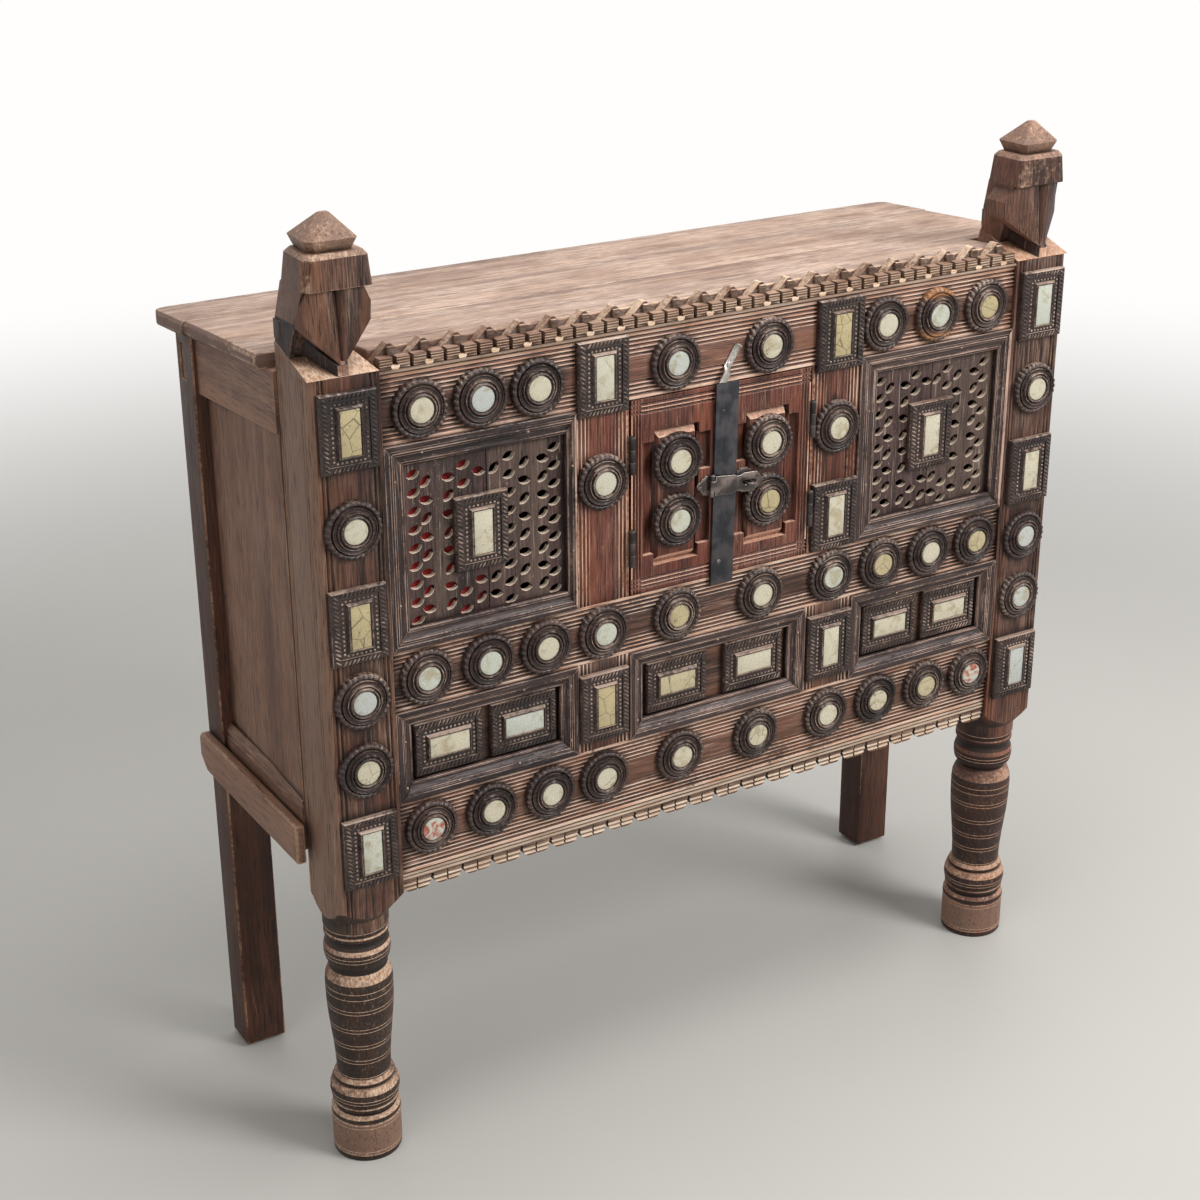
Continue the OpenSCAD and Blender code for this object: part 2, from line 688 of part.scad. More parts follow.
function near_boss(x, z) =
  abs(x) < rect_boss_w / 2 + 3 && abs(z) < rect_boss_h / 2 + leaf_l / 2;

module leaves(columns)
  for (i = [0 : len(columns) - 1], k = [0 : leaf_rows]) {
    half_step = i % 3 == 0 ? 0 : 0.5;
    z = leaf_mid_z - lattice_z + (k + half_step - leaf_rows / 2) * leaf_pitch;
    if (k + half_step <= leaf_rows && !near_boss(columns[i] - bay_w / 2, z))
      translate([columns[i], z]) leaf(i % 3 == 0 ? 18 : (i + k) % 2 == 0 ? 48 : -14);
  }

module lattice(x, columns) color("#3c2c28") {
  joint = lattice_joint(columns);
  for (range = [[fit, joint - fit / 2], [joint + fit / 2, bay_w - fit]])
    translate([x, 0, lattice_z]) along_y([lattice_y, lattice_y + lattice_t])
      difference() {
        translate([range[0], fit - door_open_h / 2])
          square([range[1] - range[0], door_open_h - 2 * fit]);
        leaves(columns);
      }
}

module left_lattice() lattice(-inner_x, left_columns);
module right_lattice() lattice(bay_in, right_columns);

module lattice_cloth() color("#8e1c1c")
  block([3 - inner_x, lattice_joint(left_columns) - inner_x - fit],
    [lattice_y + lattice_t + 0.3, lattice_y + lattice_t + 0.3 + cloth_t], [door_z + 6, top_rail_z - 6]);

// Lower panels

module lower_panel(x) color("#4a3028")
  block([x[0] + fit, x[1] - fit], [panel_y, panel_y + panel_t], [panel_z + fit, mid_z - fit]);

module left_panel() lower_panel([-inner_x, -bay_in]);
module centre_panel() lower_panel([-open_x, open_x]);
module right_panel() lower_panel([bay_in, inner_x]);

// Bosses stand on a plane at depth y and rise towards the front

mirror_seat = boss_h - 4;

module round_boss(x, y, z)
  translate([x, face_y + y, z]) rotate([90, 0, 0]) rotate_extrude($fn = 48) {
    r = round_boss_d / 2;
    m = mirror_d / 2;
    polygon([[0, 0], [r, 0], [r, 3], [r - 1, rope_h - 1], [r - 3, rope_h], [r - 5, rope_h],
      [r - 7, 5], [r - 9, 9], [r - 13, 10], [r - 14, 8], [m + 4, boss_h - 1], [m + 1, boss_h],
      [m, boss_h - 1], [m, mirror_seat], [0, mirror_seat]]);
  }

module round_mirror(x, y, z)
  translate([x, face_y + y - mirror_seat, z]) rotate([90, 0, 0])
    cylinder(r = mirror_d / 2 - 0.2, h = mirror_t, $fn = 48);

module boss_layer(w, h, y, z0, z1)
  translate([-w / 2, -h / 2, z0]) cube([w, h, z1 - z0]);

// A rectangular boss, upright or, with flat set, on its side
module rect_boss(x, y, z, flat = false)
  translate([x, face_y + y, z]) rotate([90, flat ? 90 : 0, 0]) difference() {
    union() {
      boss_layer(rect_boss_w, rect_boss_h, 0, 0, 6);
      boss_layer(rect_boss_w - 6, rect_boss_h - 6, 0, 6, 8.5);
      boss_layer(rect_mirror_w + 9, rect_mirror_h + 9, 0, 6, boss_h);
    }
    difference() {
      boss_layer(rect_boss_w - 18, rect_boss_h - 18, 0, 6.5, boss_h);
      boss_layer(rect_mirror_w + 9, rect_mirror_h + 9, 0, 6, boss_h);
    }
    boss_layer(rect_mirror_w, rect_mirror_h, 0, mirror_seat, boss_h + 1);
  }

module rect_mirror(x, y, z, flat = false)
  translate([x, face_y + y, z]) rotate([90, flat ? 90 : 0, 0])
    boss_layer(rect_mirror_w - 0.4, rect_mirror_h - 0.4, 0, mirror_seat, mirror_seat + mirror_t);

// Places as [x, depth, z]
function set_along(middle, offsets, z) = [for (d = offsets) [middle + d, board_recess, z]];
post_boss_x = post_x - boss_x;
round_places = concat(
  set_along(-bay_x, top_left_set, top_boss_z),
  set_along(0, top_middle_set, top_boss_z),
  set_along(bay_x, top_right_set, top_boss_z),
  set_along(-bay_x, mid_left_set, mid_boss_z),
  set_along(0, concat([-stile_x], mid_middle_set, [stile_x]), mid_boss_z),
  set_along(bay_x, mid_right_set, mid_boss_z),
  set_along(-bay_x, bottom_left_set, bottom_boss_z),
  set_along(0, concat([-stile_x], bottom_middle_set, [stile_x]), bottom_boss_z),
  set_along(bay_x, bottom_right_set, bottom_boss_z),
  [[-stile_x, board_recess, top_rail_z - 98], [stile_x, board_recess, top_rail_z - 89]],
  [for (side = [-1, 1], z = post_round_z) [side * post_boss_x, 0, z]]);
flat_gap = 12;
panel_boss_x = (rect_boss_h + flat_gap) / 2;
upright_places = concat(
  [for (side = [-1, 1], z = post_rect_z) [side * post_boss_x, 0, z]],
  [for (side = [-1, 1]) [side * stile_x, board_recess, crest_z - rect_boss_h / 2]],
  [for (side = [-1, 1]) [side * bay_x, lattice_y, lattice_z]],
  [for (side = [-1, 1]) [side * stile_x, board_recess, (panel_z + mid_z) / 2]],
  [[stile_x, board_recess, door_z + 2 + rect_boss_h / 2]]);
flat_places = [for (middle = [-bay_x, 0, bay_x], side = [-1, 1])
  [middle + side * (panel_boss_x + (middle == 0 ? 8 : 0)), panel_y, (panel_z + mid_z) / 2]];

module round_bosses() color("#2f2320") for (p = round_places) round_boss(p[0], p[1], p[2]);
module round_mirrors() color("#cfd6c4") for (p = round_places) round_mirror(p[0], p[1], p[2]);

module rect_bosses() color("#33251f") {
  for (p = upright_places) rect_boss(p[0], p[1], p[2]);
  for (p = flat_places) rect_boss(p[0], p[1], p[2], true);
}

module rect_mirrors() color("#c9cdb0") {
  for (p = upright_places) rect_mirror(p[0], p[1], p[2]);
  for (p = flat_places) rect_mirror(p[0], p[1], p[2], true);
}

// Sides

side_bottom_top = side_bottom_z + side_bottom_rail_h;
panel_top_z = under_z(post_d) - side_top_rail_h + 8;

module side_panels() color("#6b4431") both_sides()
  along_z([side_bottom_top - 8, panel_top_z])
    polygon([[side_rail_out - 3, post_d], [side_rail_out - 3 - side_panel_t, post_d],
      [side_x - side_recess - side_panel_t, rear_y], [side_x - side_recess, rear_y]]);

module side_rail_groove()
  along_z([side_bottom_top - 8, panel_top_z])
    polygon([[side_rail_out - 3 + fit, post_d - 1], [side_rail_out - 3 - side_panel_t - fit, post_d - 1],
      [side_x - side_recess - side_panel_t - fit, rear_y + 1],
      [side_x - side_recess + fit, rear_y + 1]]);

module side_top_rails() color("#6f5648") both_sides() difference() {
  along_x([side_rail_in, side_rail_out])
    polygon([[post_d, under_z(post_d) - side_top_rail_h],
      [rear_y, under_z(rear_y) - side_top_rail_h], [rear_y, under_z(rear_y)],
      [post_d, under_z(post_d)]]);
  side_rail_groove();
}

// Lower side rail, with a bead and a cove along its upper edge
module side_bottom_rails() color("#5f4232") both_sides() difference() {
  along_y([post_d, rear_y])
    polygon([[side_rail_in, side_bottom_z], [side_rail_out, side_bottom_z],
      [side_rail_out, side_bottom_top - 16], [side_rail_out - 2, side_bottom_top - 14],
      [side_rail_out - 0.5, side_bottom_top - 11], [side_rail_out - 1, side_bottom_top - 7],
      [side_rail_out - 5, side_bottom_top - 2], [side_rail_out - 6, side_bottom_top],
      [side_rail_in, side_bottom_top]]);
  side_rail_groove();
}

// The battens are nailed on the rear posts and run forward past the front posts' backs
module side_battens() color("#5d4637") both_sides() {
  top = side_bottom_z + 47;
  along_x([side_x, side_x + batten_t])
    polygon([[batten_front, top], [batten_front, top - batten_h],
      [frame_d - 16, top - batten_h], [frame_d + 4, top - batten_h + 18],
      [frame_d + 4, top - 8], [frame_d - 4, top]]);
}

// Back, floor and bearers

back_rail_y = rear_y + 20;
back_board_y = back_rail_y - back_t;
back_x = side_x - rear_post_w;
back_count = 6;

module back_rail(z, tenon) {
  block([-back_x, back_x], [back_rail_y, back_rail_y + back_rail_t], z);
  both_sides() block([back_x - 1, side_x - 1], [tenon_y, tenon_y + tenon_t], tenon + [0.2, -0.2]);
}

module back_rails() color("#5d4030") {
  back_rail([top_under - 72, under_z(back_rail_y + back_rail_t)], tenon_z);
  back_rail([floor_z - 14, floor_z + 44], low_tenon_z);
}

module back_boards() color("#6a4a38") {
  w = 2 * (back_x - fit) / back_count;
  for (i = [0 : back_count - 1])
    block([fit - back_x + i * w, fit - back_x + (i + 1) * w - 2 * fit],
      [back_board_y, back_rail_y], [floor_z - 14, under_z(back_rail_y)]);
}

floor_y = [board_back + fit, 138, 236, back_board_y];

module floor_boards() color("#6a4d3b") {
  block([-inner_x + fit, inner_x - fit], [floor_y[0], post_d + 2], [floor_z, floor_z + floor_t]);
  block([-side_rail_in + fit, side_rail_in - fit], [post_d + 3, floor_y[1]],
    [floor_z, floor_z + floor_t]);
  block([-side_rail_in + fit, side_rail_in - fit], [floor_y[1] + 1, floor_y[2]],
    [floor_z, floor_z + floor_t]);
  block([-back_x + fit, back_x - fit], [floor_y[2] + 1, floor_y[3]],
    [floor_z, floor_z + floor_t]);
}

module floor_bearers() color("#5b3f30") {
  both_sides() block([side_rail_in - bearer_t, side_rail_in], [post_d, rear_y],
    [floor_z - 20, floor_z]);
  block([-inner_x + fit, inner_x - fit], [board_back, board_back + bearer_t],
    [floor_z - 22, floor_z]);
}

// Door hinges: a barrel of three knuckles on the face, plates in the gap

knuckle = hinge_h / 3;

module knuckle_at(x, z, h)
  translate([x, face_y + axis_y, z]) cylinder(r = barrel_r, h = h, $fn = 32);

module pin_hole(x, z, h)
  translate([x, face_y + axis_y, z]) cylinder(r = pin_r + pin_play, h = h, $fn = 32);

// Fixed halves, drawn for the right side
module fixed_hinge(z) difference() {
  union() {
    for (k = [-1, 1])
      translate([0, 0, k * knuckle]) {
        knuckle_at(axis_x, z - knuckle / 2, knuckle - (k < 0 ? clear : 0));
        block([open_x - hinge_plate_t, open_x], [axis_y, 8], [z - knuckle / 2, z + knuckle / 2 - clear]);
      }
    block([open_x - hinge_plate_t, open_x], [axis_y + barrel_r + clear, board_back - 8],
      [z - hinge_h / 2, z + hinge_h / 2 - clear]);
  }
  pin_hole(axis_x, z - hinge_h / 2 - 1, hinge_h + 2);
}

module fixed_hinges() color("#1f1c1e") both_sides() for (z = hinge_z) fixed_hinge(z);

module hinge_pins() color("#3a3637") both_sides() for (z = hinge_z)
  translate([axis_x, face_y + axis_y, z - hinge_h / 2]) {
    cylinder(r = pin_r, h = hinge_h, $fn = 32);
    translate([0, 0, hinge_h]) cylinder(r = pin_r + 1, h = 1.6, $fn = 32);
  }

module door_hinge(z) difference() {
  union() {
    knuckle_at(axis_x, z - knuckle / 2, knuckle - clear);
    block([leaf_x, leaf_x + hinge_plate_t], [axis_y, 8], [z - knuckle / 2, z + knuckle / 2 - clear]);
    block([leaf_x, leaf_x + hinge_plate_t], [axis_y + barrel_r + clear, door_t - 2],
      [z - hinge_h / 2, z + hinge_h / 2 - clear]);
  }
  pin_hole(axis_x, z - hinge_h / 2 - 1, hinge_h + 2);
}

module door_left_hinges() color("#1f1c1e") mirror([1, 0, 0]) for (z = hinge_z) door_hinge(z);
module door_right_hinges() color("#1f1c1e") for (z = hinge_z) door_hinge(z);

// Door leaves, drawn for the right side

leaf_z = [door_z + door_gap, top_rail_z - door_gap];
deep_x = [36, 104];
deep_z = [door_z + 35, top_rail_z - 45];
wide_x = [18, 120];
wide_z = [door_z + 51, top_rail_z - 59];
field_margin = 3;
field_bevel = 8;
notch_z = [door_z + 126, door_z + 152];

module leaf_groove(along, at)
  if (along == "x")
    along_x([0, leaf_x + 1]) translate([door_recess, at]) rotate(45)
      square(reed_w / sqrt(2), center = true);
  else
    along_z(leaf_z + [-1, 1]) translate([at, door_recess]) rotate(45)
      square(reed_w / sqrt(2), center = true);

// Raised field inside the channel, with bevelled sides, rooted 2 mm deep in the leaf
module raised_field() {
  x = deep_x + [field_margin, -field_margin];
  z = deep_z + [field_margin, -field_margin];
  y = [door_recess, door_recess + channel_depth];
  root = y[1] + 2;
  intersection() {
    along_x(x) polygon([[root, z[0]], [y[1], z[0]], [y[0], z[0] + field_bevel],
      [y[0], z[1] - field_bevel], [y[1], z[1]], [root, z[1]]]);
    along_z(z) polygon([[x[0], root], [x[0], y[1]], [x[0] + 4, y[0]], [x[1] - 4, y[0]],
      [x[1], y[1]], [x[1], root]]);
  }
}

module door_leaf() {
  difference() {
    along_z(leaf_z)
      polygon([[meeting_gap / 2, door_recess], [leaf_x, door_recess],
        [leaf_x, door_recess + door_t], [meeting_gap / 2 + meeting_bevel, door_recess + door_t]]);
    block(deep_x, [0, door_recess + channel_depth], deep_z);
    difference() {
      block(wide_x, [0, door_recess + channel_depth - 2], wide_z);
      block([0, deep_x[0]], [-1, door_recess + channel_depth], notch_z);
    }
    for (i = [0 : 2]) {
      leaf_groove("x", leaf_z[0] + 7 + i * reed_pitch);
      leaf_groove("x", leaf_z[1] - 7 - i * reed_pitch);
      leaf_groove("z", leaf_x - 4 - i * reed_pitch * 0.8);
    }
  }
  raised_field();
}

module door_ledges() color("#5c3c2d")
  for (z = [door_z + 30, top_rail_z - 70])
    block([14, leaf_x - 9], [door_recess + door_t, door_recess + door_t + ledge_t], [z, z + 40]);

// Door bosses as [x, z], left leaf then right leaf
door_boss_x = (deep_x[0] + deep_x[1]) / 2;
door_boss_z = [door_z + 92, door_z + 172];

module door_left_leaf() color("#6a2c20") mirror([1, 0, 0]) door_leaf();
module door_right_leaf() color("#6a2c20") door_leaf();
module door_left_ledges() mirror([1, 0, 0]) door_ledges();
module door_right_ledges() door_ledges();

module door_bosses(x) color("#2f2320") for (z = door_boss_z) round_boss(x, door_recess, z);
module door_mirrors(x) color("#cfcfae") for (z = door_boss_z) round_mirror(x, door_recess, z);
module door_left_bosses() door_bosses(-door_boss_x);
module door_right_bosses() door_bosses(door_boss_x);
module door_left_mirrors() door_mirrors(-door_boss_x);
module door_right_mirrors() door_mirrors(door_boss_x);

// The bar is nailed on the left leaf and covers the joint

bar_x = 1;
nail_z = [door_z + 22, top_rail_z - 35];

module joint_bar() color("#1f242b")
  translate([bar_x, 0, bar_z + bar_h / 2]) rotate([0, bar_tilt, 0])
    difference() {
      block([-bar_w / 2, bar_w / 2], [bar_front, bar_back], [-bar_h / 2, bar_h / 2]);
      for (z = nail_z)
        translate([-bar_w / 2 + 11, face_y + bar_back + 1, z - bar_z - bar_h / 2])
          rotate([90, 0, 0]) cylinder(r = 1.3, h = bar_t + 2, $fn = 24);
    }

module bar_nails() color("#4a4a4c")
  translate([bar_x, 0, bar_z + bar_h / 2]) rotate([0, bar_tilt, 0])
    for (z = nail_z)
      translate([-bar_w / 2 + 11, face_y + bar_back, z - bar_z - bar_h / 2]) rotate([90, 0, 0]) {
        cylinder(r = 1.25, h = bar_t, $fn = 24);
        translate([0, 0, bar_t]) cylinder(r = 2.6, h = 1, $fn = 24);
      }

// Hasp: plate with two knuckles, pin, slotted strap and staple, all drooping alike

hasp_knuckle_h = 13;
slot_x = [44.5, 67.5];
slot_h = 6.4;
staple_x = [49.5, 58.5];

module drooped() translate([hasp_x, 0, hasp_z]) rotate([0, hasp_droop, 0]) children();

module hasp_bore(h)
  translate([0, face_y + hasp_axis_y, -h / 2]) cylinder(r = hasp_pin_r + pin_play, h = h, $fn = 32);

module hasp_knuckles(z)
  translate([0, face_y + hasp_axis_y, z[0]]) cylinder(r = hasp_barrel_r, h = z[1] - z[0], $fn = 32);

module hasp_plate() color("#4b4240") drooped() difference() {
  union() {
    for (side = [-1, 1]) {
      z = side > 0 ? [hasp_knuckle_h / 2 + clear, hasp_h / 2 + 1]
        : [-hasp_h / 2 - 1, -hasp_knuckle_h / 2 - clear];
      hasp_knuckles(z);
      block([-hasp_barrel_r, 0], [hasp_axis_y, door_recess], z);
    }
    along_y([door_recess - 2, door_recess])
      polygon([[-hasp_barrel_r - clear, -13], [-hasp_barrel_r - clear, 12], [-7, 13], [-10, 10],
        [-13, 9], [-15, 5], [-18, 5], [-20.5, 0], [-18, -5], [-15, -5], [-13, -9], [-10, -13]]);
    for (side = [-1, 1])
      block([-hasp_barrel_r - 2, 0], [door_recess - 2, door_recess],
        side > 0 ? [hasp_knuckle_h / 2 + clear, 12] : [-13, -hasp_knuckle_h / 2 - clear]);
  }
  hasp_bore(40);
  translate([-15, face_y + 6, 0]) rotate([90, 0, 0]) cylinder(r = 1.5, h = 9, $fn = 24);
}

module hasp_pin() color("#5a5250") drooped()
  translate([0, face_y + hasp_axis_y, -hasp_h / 2 - 2])
    cylinder(r = hasp_pin_r, h = hasp_h + 4, $fn = 32);

// Outline of the strap: a broad hinge end, a waist, then an eight-sided end round the slot
module hasp_outline()
  polygon([[2, -hasp_h / 2], [31, 0.5 - hasp_h / 2], [35, -10.5], [42, -10.5], [46, -hasp_h / 2],
    [64, 0.5 - hasp_h / 2], [73, -6], [75, -5.5], [hasp_l, 0], [75, 5], [73, 6.5],
    [67, hasp_h / 2], [48, hasp_h / 2], [40, 10], [36, 10], [32, 12], [2, hasp_h / 2]]);

module hasp_strap() color("#4b4240") drooped() difference() {
  union() {
    hasp_knuckles([-hasp_knuckle_h / 2, hasp_knuckle_h / 2]);
    block([0, 4], [hasp_back - hasp_t, hasp_back], [-hasp_knuckle_h / 2, hasp_knuckle_h / 2]);
    difference() {
      along_y([hasp_back - hasp_t, hasp_back]) hasp_outline();
      for (side = [-1, 1])
        block([-1, hasp_barrel_r + clear], [-20, 20],
          side > 0 ? [hasp_knuckle_h / 2, hasp_h] : [-hasp_h, -hasp_knuckle_h / 2]);
    }
  }
  hasp_bore(40);
  along_y([-30, 10]) hull()
    for (x = slot_x + [slot_h / 2, -slot_h / 2]) translate([x, 0]) circle(d = slot_h, $fn = 32);
}

module staple() color("#6a625c") drooped() {
  middle = (staple_x[0] + staple_x[1]) / 2;
  half = (staple_x[1] - staple_x[0]) / 2;
  reach = staple_reach - staple_r - half;
  for (x = staple_x)
    translate([x, face_y + door_recess, 0]) rotate([90, 0, 0])
      cylinder(r = staple_r, h = reach + door_recess, $fn = 24);
  translate([middle, face_y - reach, 0]) rotate([0, 0, 180])
    rotate_extrude(angle = 180, $fn = 48) translate([half, 0]) circle(staple_r, $fn = 24);
  along_y([door_recess - 1.6, door_recess])
    polygon([[41, -7], [44, -7], [44, -14], [52, -14], [52, -7], [60, -7], [60, 8], [62, 8],
      [62, 15], [58, 15], [58, 17], [44, 17], [44, 14], [41, 14]]);
}

// Turn catch: a cranked strip on a rivet, whose lower end passes in front of the bar

catch_back = board_recess - 0.3;
tongue_back = bar_front - clear;

module tilted() translate([catch_x, 0, catch_z]) rotate([0, catch_tilt, 0]) children();

module turn_catch() color("#a9a29a") tilted() difference() {
  intersection() {
    along_x([-catch_w / 2, catch_w / 2])
      polygon([[catch_back, 27], [catch_back, -5], [tongue_back, -11], [tongue_back, -30],
        [tongue_back - catch_t, -30], [tongue_back - catch_t, -10.2], [catch_back - catch_t, -4.2],
        [catch_back - catch_t, 25], [catch_back - catch_t - 3, 26.5], [catch_back - catch_t - 3, 28]]);
    along_y([-20, 20])
      polygon([[-catch_w / 2, -27], [catch_w / 2, -22], [catch_w / 2, 26], [2, 29], [-2, 29],
        [-catch_w / 2, 26]]);
  }
  translate([0, face_y + 20, 0]) rotate([90, 0, 0])
    cylinder(r = catch_bore_r, h = 40, $fn = 32);
}

module catch_rivet() color("#8b857e") tilted()
  translate([0, face_y + board_recess, 0]) rotate([90, 0, 0]) {
    cylinder(r = catch_bore_r - pin_play, h = catch_t + 1, $fn = 32);
    translate([0, 0, catch_t + 0.6]) cylinder(r = 3.2, h = 1.4, $fn = 32);
  }

left_front_post();
right_front_post();
left_rear_post();
right_rear_post();
rear_glides();
top_front_board();
top_middle_board();
top_rear_board();
top_bearers();
top_rail();
mid_rail();
bottom_rail();
left_upper_stile();
right_upper_stile();
left_lower_stile();
right_lower_stile();
crest_bead();
top_crest();
bottom_crest();
left_lattice();
right_lattice();
left_lattice_frame();
right_lattice_frame();
lattice_cloth();
left_panel();
centre_panel();
right_panel();
panel_frames();
round_bosses();
round_mirrors();
rect_bosses();
rect_mirrors();
side_panels();
side_top_rails();
side_bottom_rails();
side_battens();
back_boards();
back_rails();
floor_boards();
floor_bearers();
fixed_hinges();
hinge_pins();
catch_rivet();
turn_catch();
door_left_leaf();
door_left_ledges();
door_left_bosses();
door_left_mirrors();
door_left_hinges();
joint_bar();
bar_nails();
hasp_plate();
hasp_pin();
hasp_strap();
door_right_leaf();
door_right_ledges();
door_right_bosses();
door_right_mirrors();
door_right_hinges();
staple();
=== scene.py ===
import json
import math
import random

import bmesh
import bpy
from mathutils import Matrix, Vector, geometry, noise
from mathutils.bvhtree import BVHTree

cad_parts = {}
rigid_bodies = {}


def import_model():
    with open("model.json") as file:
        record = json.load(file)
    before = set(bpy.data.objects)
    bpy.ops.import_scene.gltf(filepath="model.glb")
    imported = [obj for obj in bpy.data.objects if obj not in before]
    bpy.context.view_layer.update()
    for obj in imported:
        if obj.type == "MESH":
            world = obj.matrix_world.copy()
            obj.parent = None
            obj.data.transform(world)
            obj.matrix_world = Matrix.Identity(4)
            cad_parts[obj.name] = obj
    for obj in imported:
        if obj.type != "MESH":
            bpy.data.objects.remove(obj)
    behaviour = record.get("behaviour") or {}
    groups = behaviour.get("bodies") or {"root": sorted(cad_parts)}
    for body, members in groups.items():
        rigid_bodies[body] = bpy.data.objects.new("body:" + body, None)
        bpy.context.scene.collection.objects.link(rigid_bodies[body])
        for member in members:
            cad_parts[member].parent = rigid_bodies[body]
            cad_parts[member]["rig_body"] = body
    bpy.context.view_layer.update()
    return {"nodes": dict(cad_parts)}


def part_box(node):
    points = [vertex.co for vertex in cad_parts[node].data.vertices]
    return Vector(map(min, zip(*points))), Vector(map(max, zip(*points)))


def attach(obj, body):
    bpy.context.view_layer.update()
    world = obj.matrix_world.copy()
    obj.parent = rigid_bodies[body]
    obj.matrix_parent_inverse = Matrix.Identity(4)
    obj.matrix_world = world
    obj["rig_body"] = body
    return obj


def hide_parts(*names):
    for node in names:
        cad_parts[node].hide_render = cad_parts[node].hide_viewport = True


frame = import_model()
cadNodes = frame["nodes"]
chance = random.Random(31)
print("frame loaded:", len(cadNodes), "solids")

# mesh and object helpers


def meshFrom(shape, name):
    mesh = bpy.data.meshes.new(name)
    shape.to_mesh(mesh)
    shape.free()
    return mesh


def addObject(name, data):
    made = bpy.data.objects.new(name, data)
    bpy.context.scene.collection.objects.link(made)
    return made


# camera

cameraView = dict(yaw=31.321, pitch=22.818, roll=-0.3156, lens=63.49, sensor=36,
                  place=(-1.4667, -2.3116, 1.7632))


def makeCamera():
    yaw, pitch, roll = (math.radians(cameraView[k]) for k in ("yaw", "pitch", "roll"))
    ahead = Vector((math.sin(yaw) * math.cos(pitch), math.cos(yaw) * math.cos(pitch), -math.sin(pitch)))
    right = Vector((math.cos(yaw), -math.sin(yaw), 0))
    up = right.cross(ahead)
    turnedRight = right * math.cos(roll) + up * math.sin(roll)
    turnedUp = up * math.cos(roll) - right * math.sin(roll)
    data = bpy.data.cameras.new("camera")
    data.lens, data.sensor_width, data.sensor_fit = cameraView["lens"], cameraView["sensor"], "HORIZONTAL"
    camera = addObject("camera", data)
    place = Matrix((turnedRight, turnedUp, -ahead)).transposed().to_4x4()
    place.translation = Vector(cameraView["place"])
    camera.matrix_world = place
    bpy.context.scene.camera = camera


# light and floor: each lamp has a place, a width and a power

studio = dict(lamps=dict(key=((1.9, -3.0, 3.0), 1.7, 135), fill=((-3.4, -1.8, 2.2), 2.6, 20),
                         top=((0.2, -0.2, 3.6), 2.4, 74)),
              middle=(0, 0, 0.6), world=0.32, backdrop=(1, 0.99, 0.975, 1), floorHalf=9, floorRough=0.5,
              floorColour=(0.51, 0.495, 0.465), mottle=(0.97, 1.03), mottleScale=2.5, paleFrom=1.6,
              paleTo=4.4)


def softbox(name, place, size, power):
    data = bpy.data.lights.new(name, "AREA")
    data.shape, data.size, data.energy = "DISK", size, power
    lamp = addObject(name, data)
    lamp.location = place
    lamp.rotation_euler = (Vector(studio["middle"]) - Vector(place)).to_track_quat("-Z", "Y").to_euler()


def makeStudio():
    for name, (place, size, power) in studio["lamps"].items():
        softbox(name, place, size, power)
    world = bpy.data.worlds.new("paleRoom")
    bpy.context.scene.world = world
    world.use_nodes = True
    tree = world.node_tree
    back = tree.nodes["Background"]
    back.inputs["Color"].default_value = studio["backdrop"]
    strength = ramp(tree, seenByEye(tree), 0.0, 1.0, studio["world"], 1.0, soft=False)
    tree.links.new(strength, back.inputs["Strength"])
    shape = bmesh.new()
    bmesh.ops.create_grid(shape, x_segments=2, y_segments=2, size=studio["floorHalf"])
    mesh = meshFrom(shape, "floor")
    floor = addObject("floor", mesh)
    paint, tree, shader = newMaterial("floorPaint")
    spot = objectSpot(tree)
    mottled = noiseOf(tree, spot, studio["mottleScale"], 5.0)
    shades = [(*(c * k for c in studio["floorColour"]), 1) for k in studio["mottle"]]
    tree.links.new(blend(tree, mottled, *shades), shader.inputs["Base Color"])
    shader.inputs["Roughness"].default_value = studio["floorRough"]
    # far from the cabinet the floor pales into a white backdrop
    away = put(tree, "ShaderNodeVectorMath", {0: spot}, operation="LENGTH").outputs["Value"]
    pale = times(tree, ramp(tree, away, studio["paleFrom"], studio["paleTo"]), seenByEye(tree))
    glow = put(tree, "ShaderNodeEmission", {"Color": studio["backdrop"], "Strength": 1.0})
    both = put(tree, "ShaderNodeMixShader", {0: pale, 1: shader.outputs[0], 2: glow.outputs[0]})
    tree.links.new(both.outputs[0], tree.nodes["Material Output"].inputs["Surface"])
    mesh.materials.append(paint)


# node helpers


def put(tree, kind, sockets=None, **settings):
    made = tree.nodes.new(kind)
    for key, value in settings.items():
        setattr(made, key, value)
    for key, value in (sockets or {}).items():
        if isinstance(value, bpy.types.NodeSocket):
            tree.links.new(value, made.inputs[key])
        else:
            made.inputs[key].default_value = value
    return made


def blend(tree, factor, first, second):
    return put(tree, "ShaderNodeMix", {0: factor, 6: first, 7: second}, data_type="RGBA").outputs[2]


def math2(tree, kind, first, second=0.0):
    return put(tree, "ShaderNodeMath", {0: first, 1: second}, operation=kind).outputs[0]


def times(tree, first, second):
    return math2(tree, "MULTIPLY", first, second)


def plus(tree, first, second):
    return math2(tree, "ADD", first, second)


def move(tree, kind, *terms):
    return put(tree, "ShaderNodeVectorMath", dict(enumerate(terms)), operation=kind).outputs[0]


def noiseOf(tree, spot, scale, detail, rough=0.5, twist=0.0):
    sockets = {"Vector": spot, "Scale": scale, "Detail": detail, "Roughness": rough, "Distortion": twist}
    return put(tree, "ShaderNodeTexNoise", sockets).outputs[0]


def attributeOf(tree, name):
    return put(tree, "ShaderNodeAttribute", attribute_name=name).outputs["Fac"]


def seenByEye(tree):
    path = tree.nodes.new("ShaderNodeLightPath")
    return math2(tree, "MAXIMUM", path.outputs["Is Camera Ray"], path.outputs["Is Glossy Ray"])


def objectSpot(tree):
    return tree.nodes.new("ShaderNodeTexCoord").outputs["Object"]


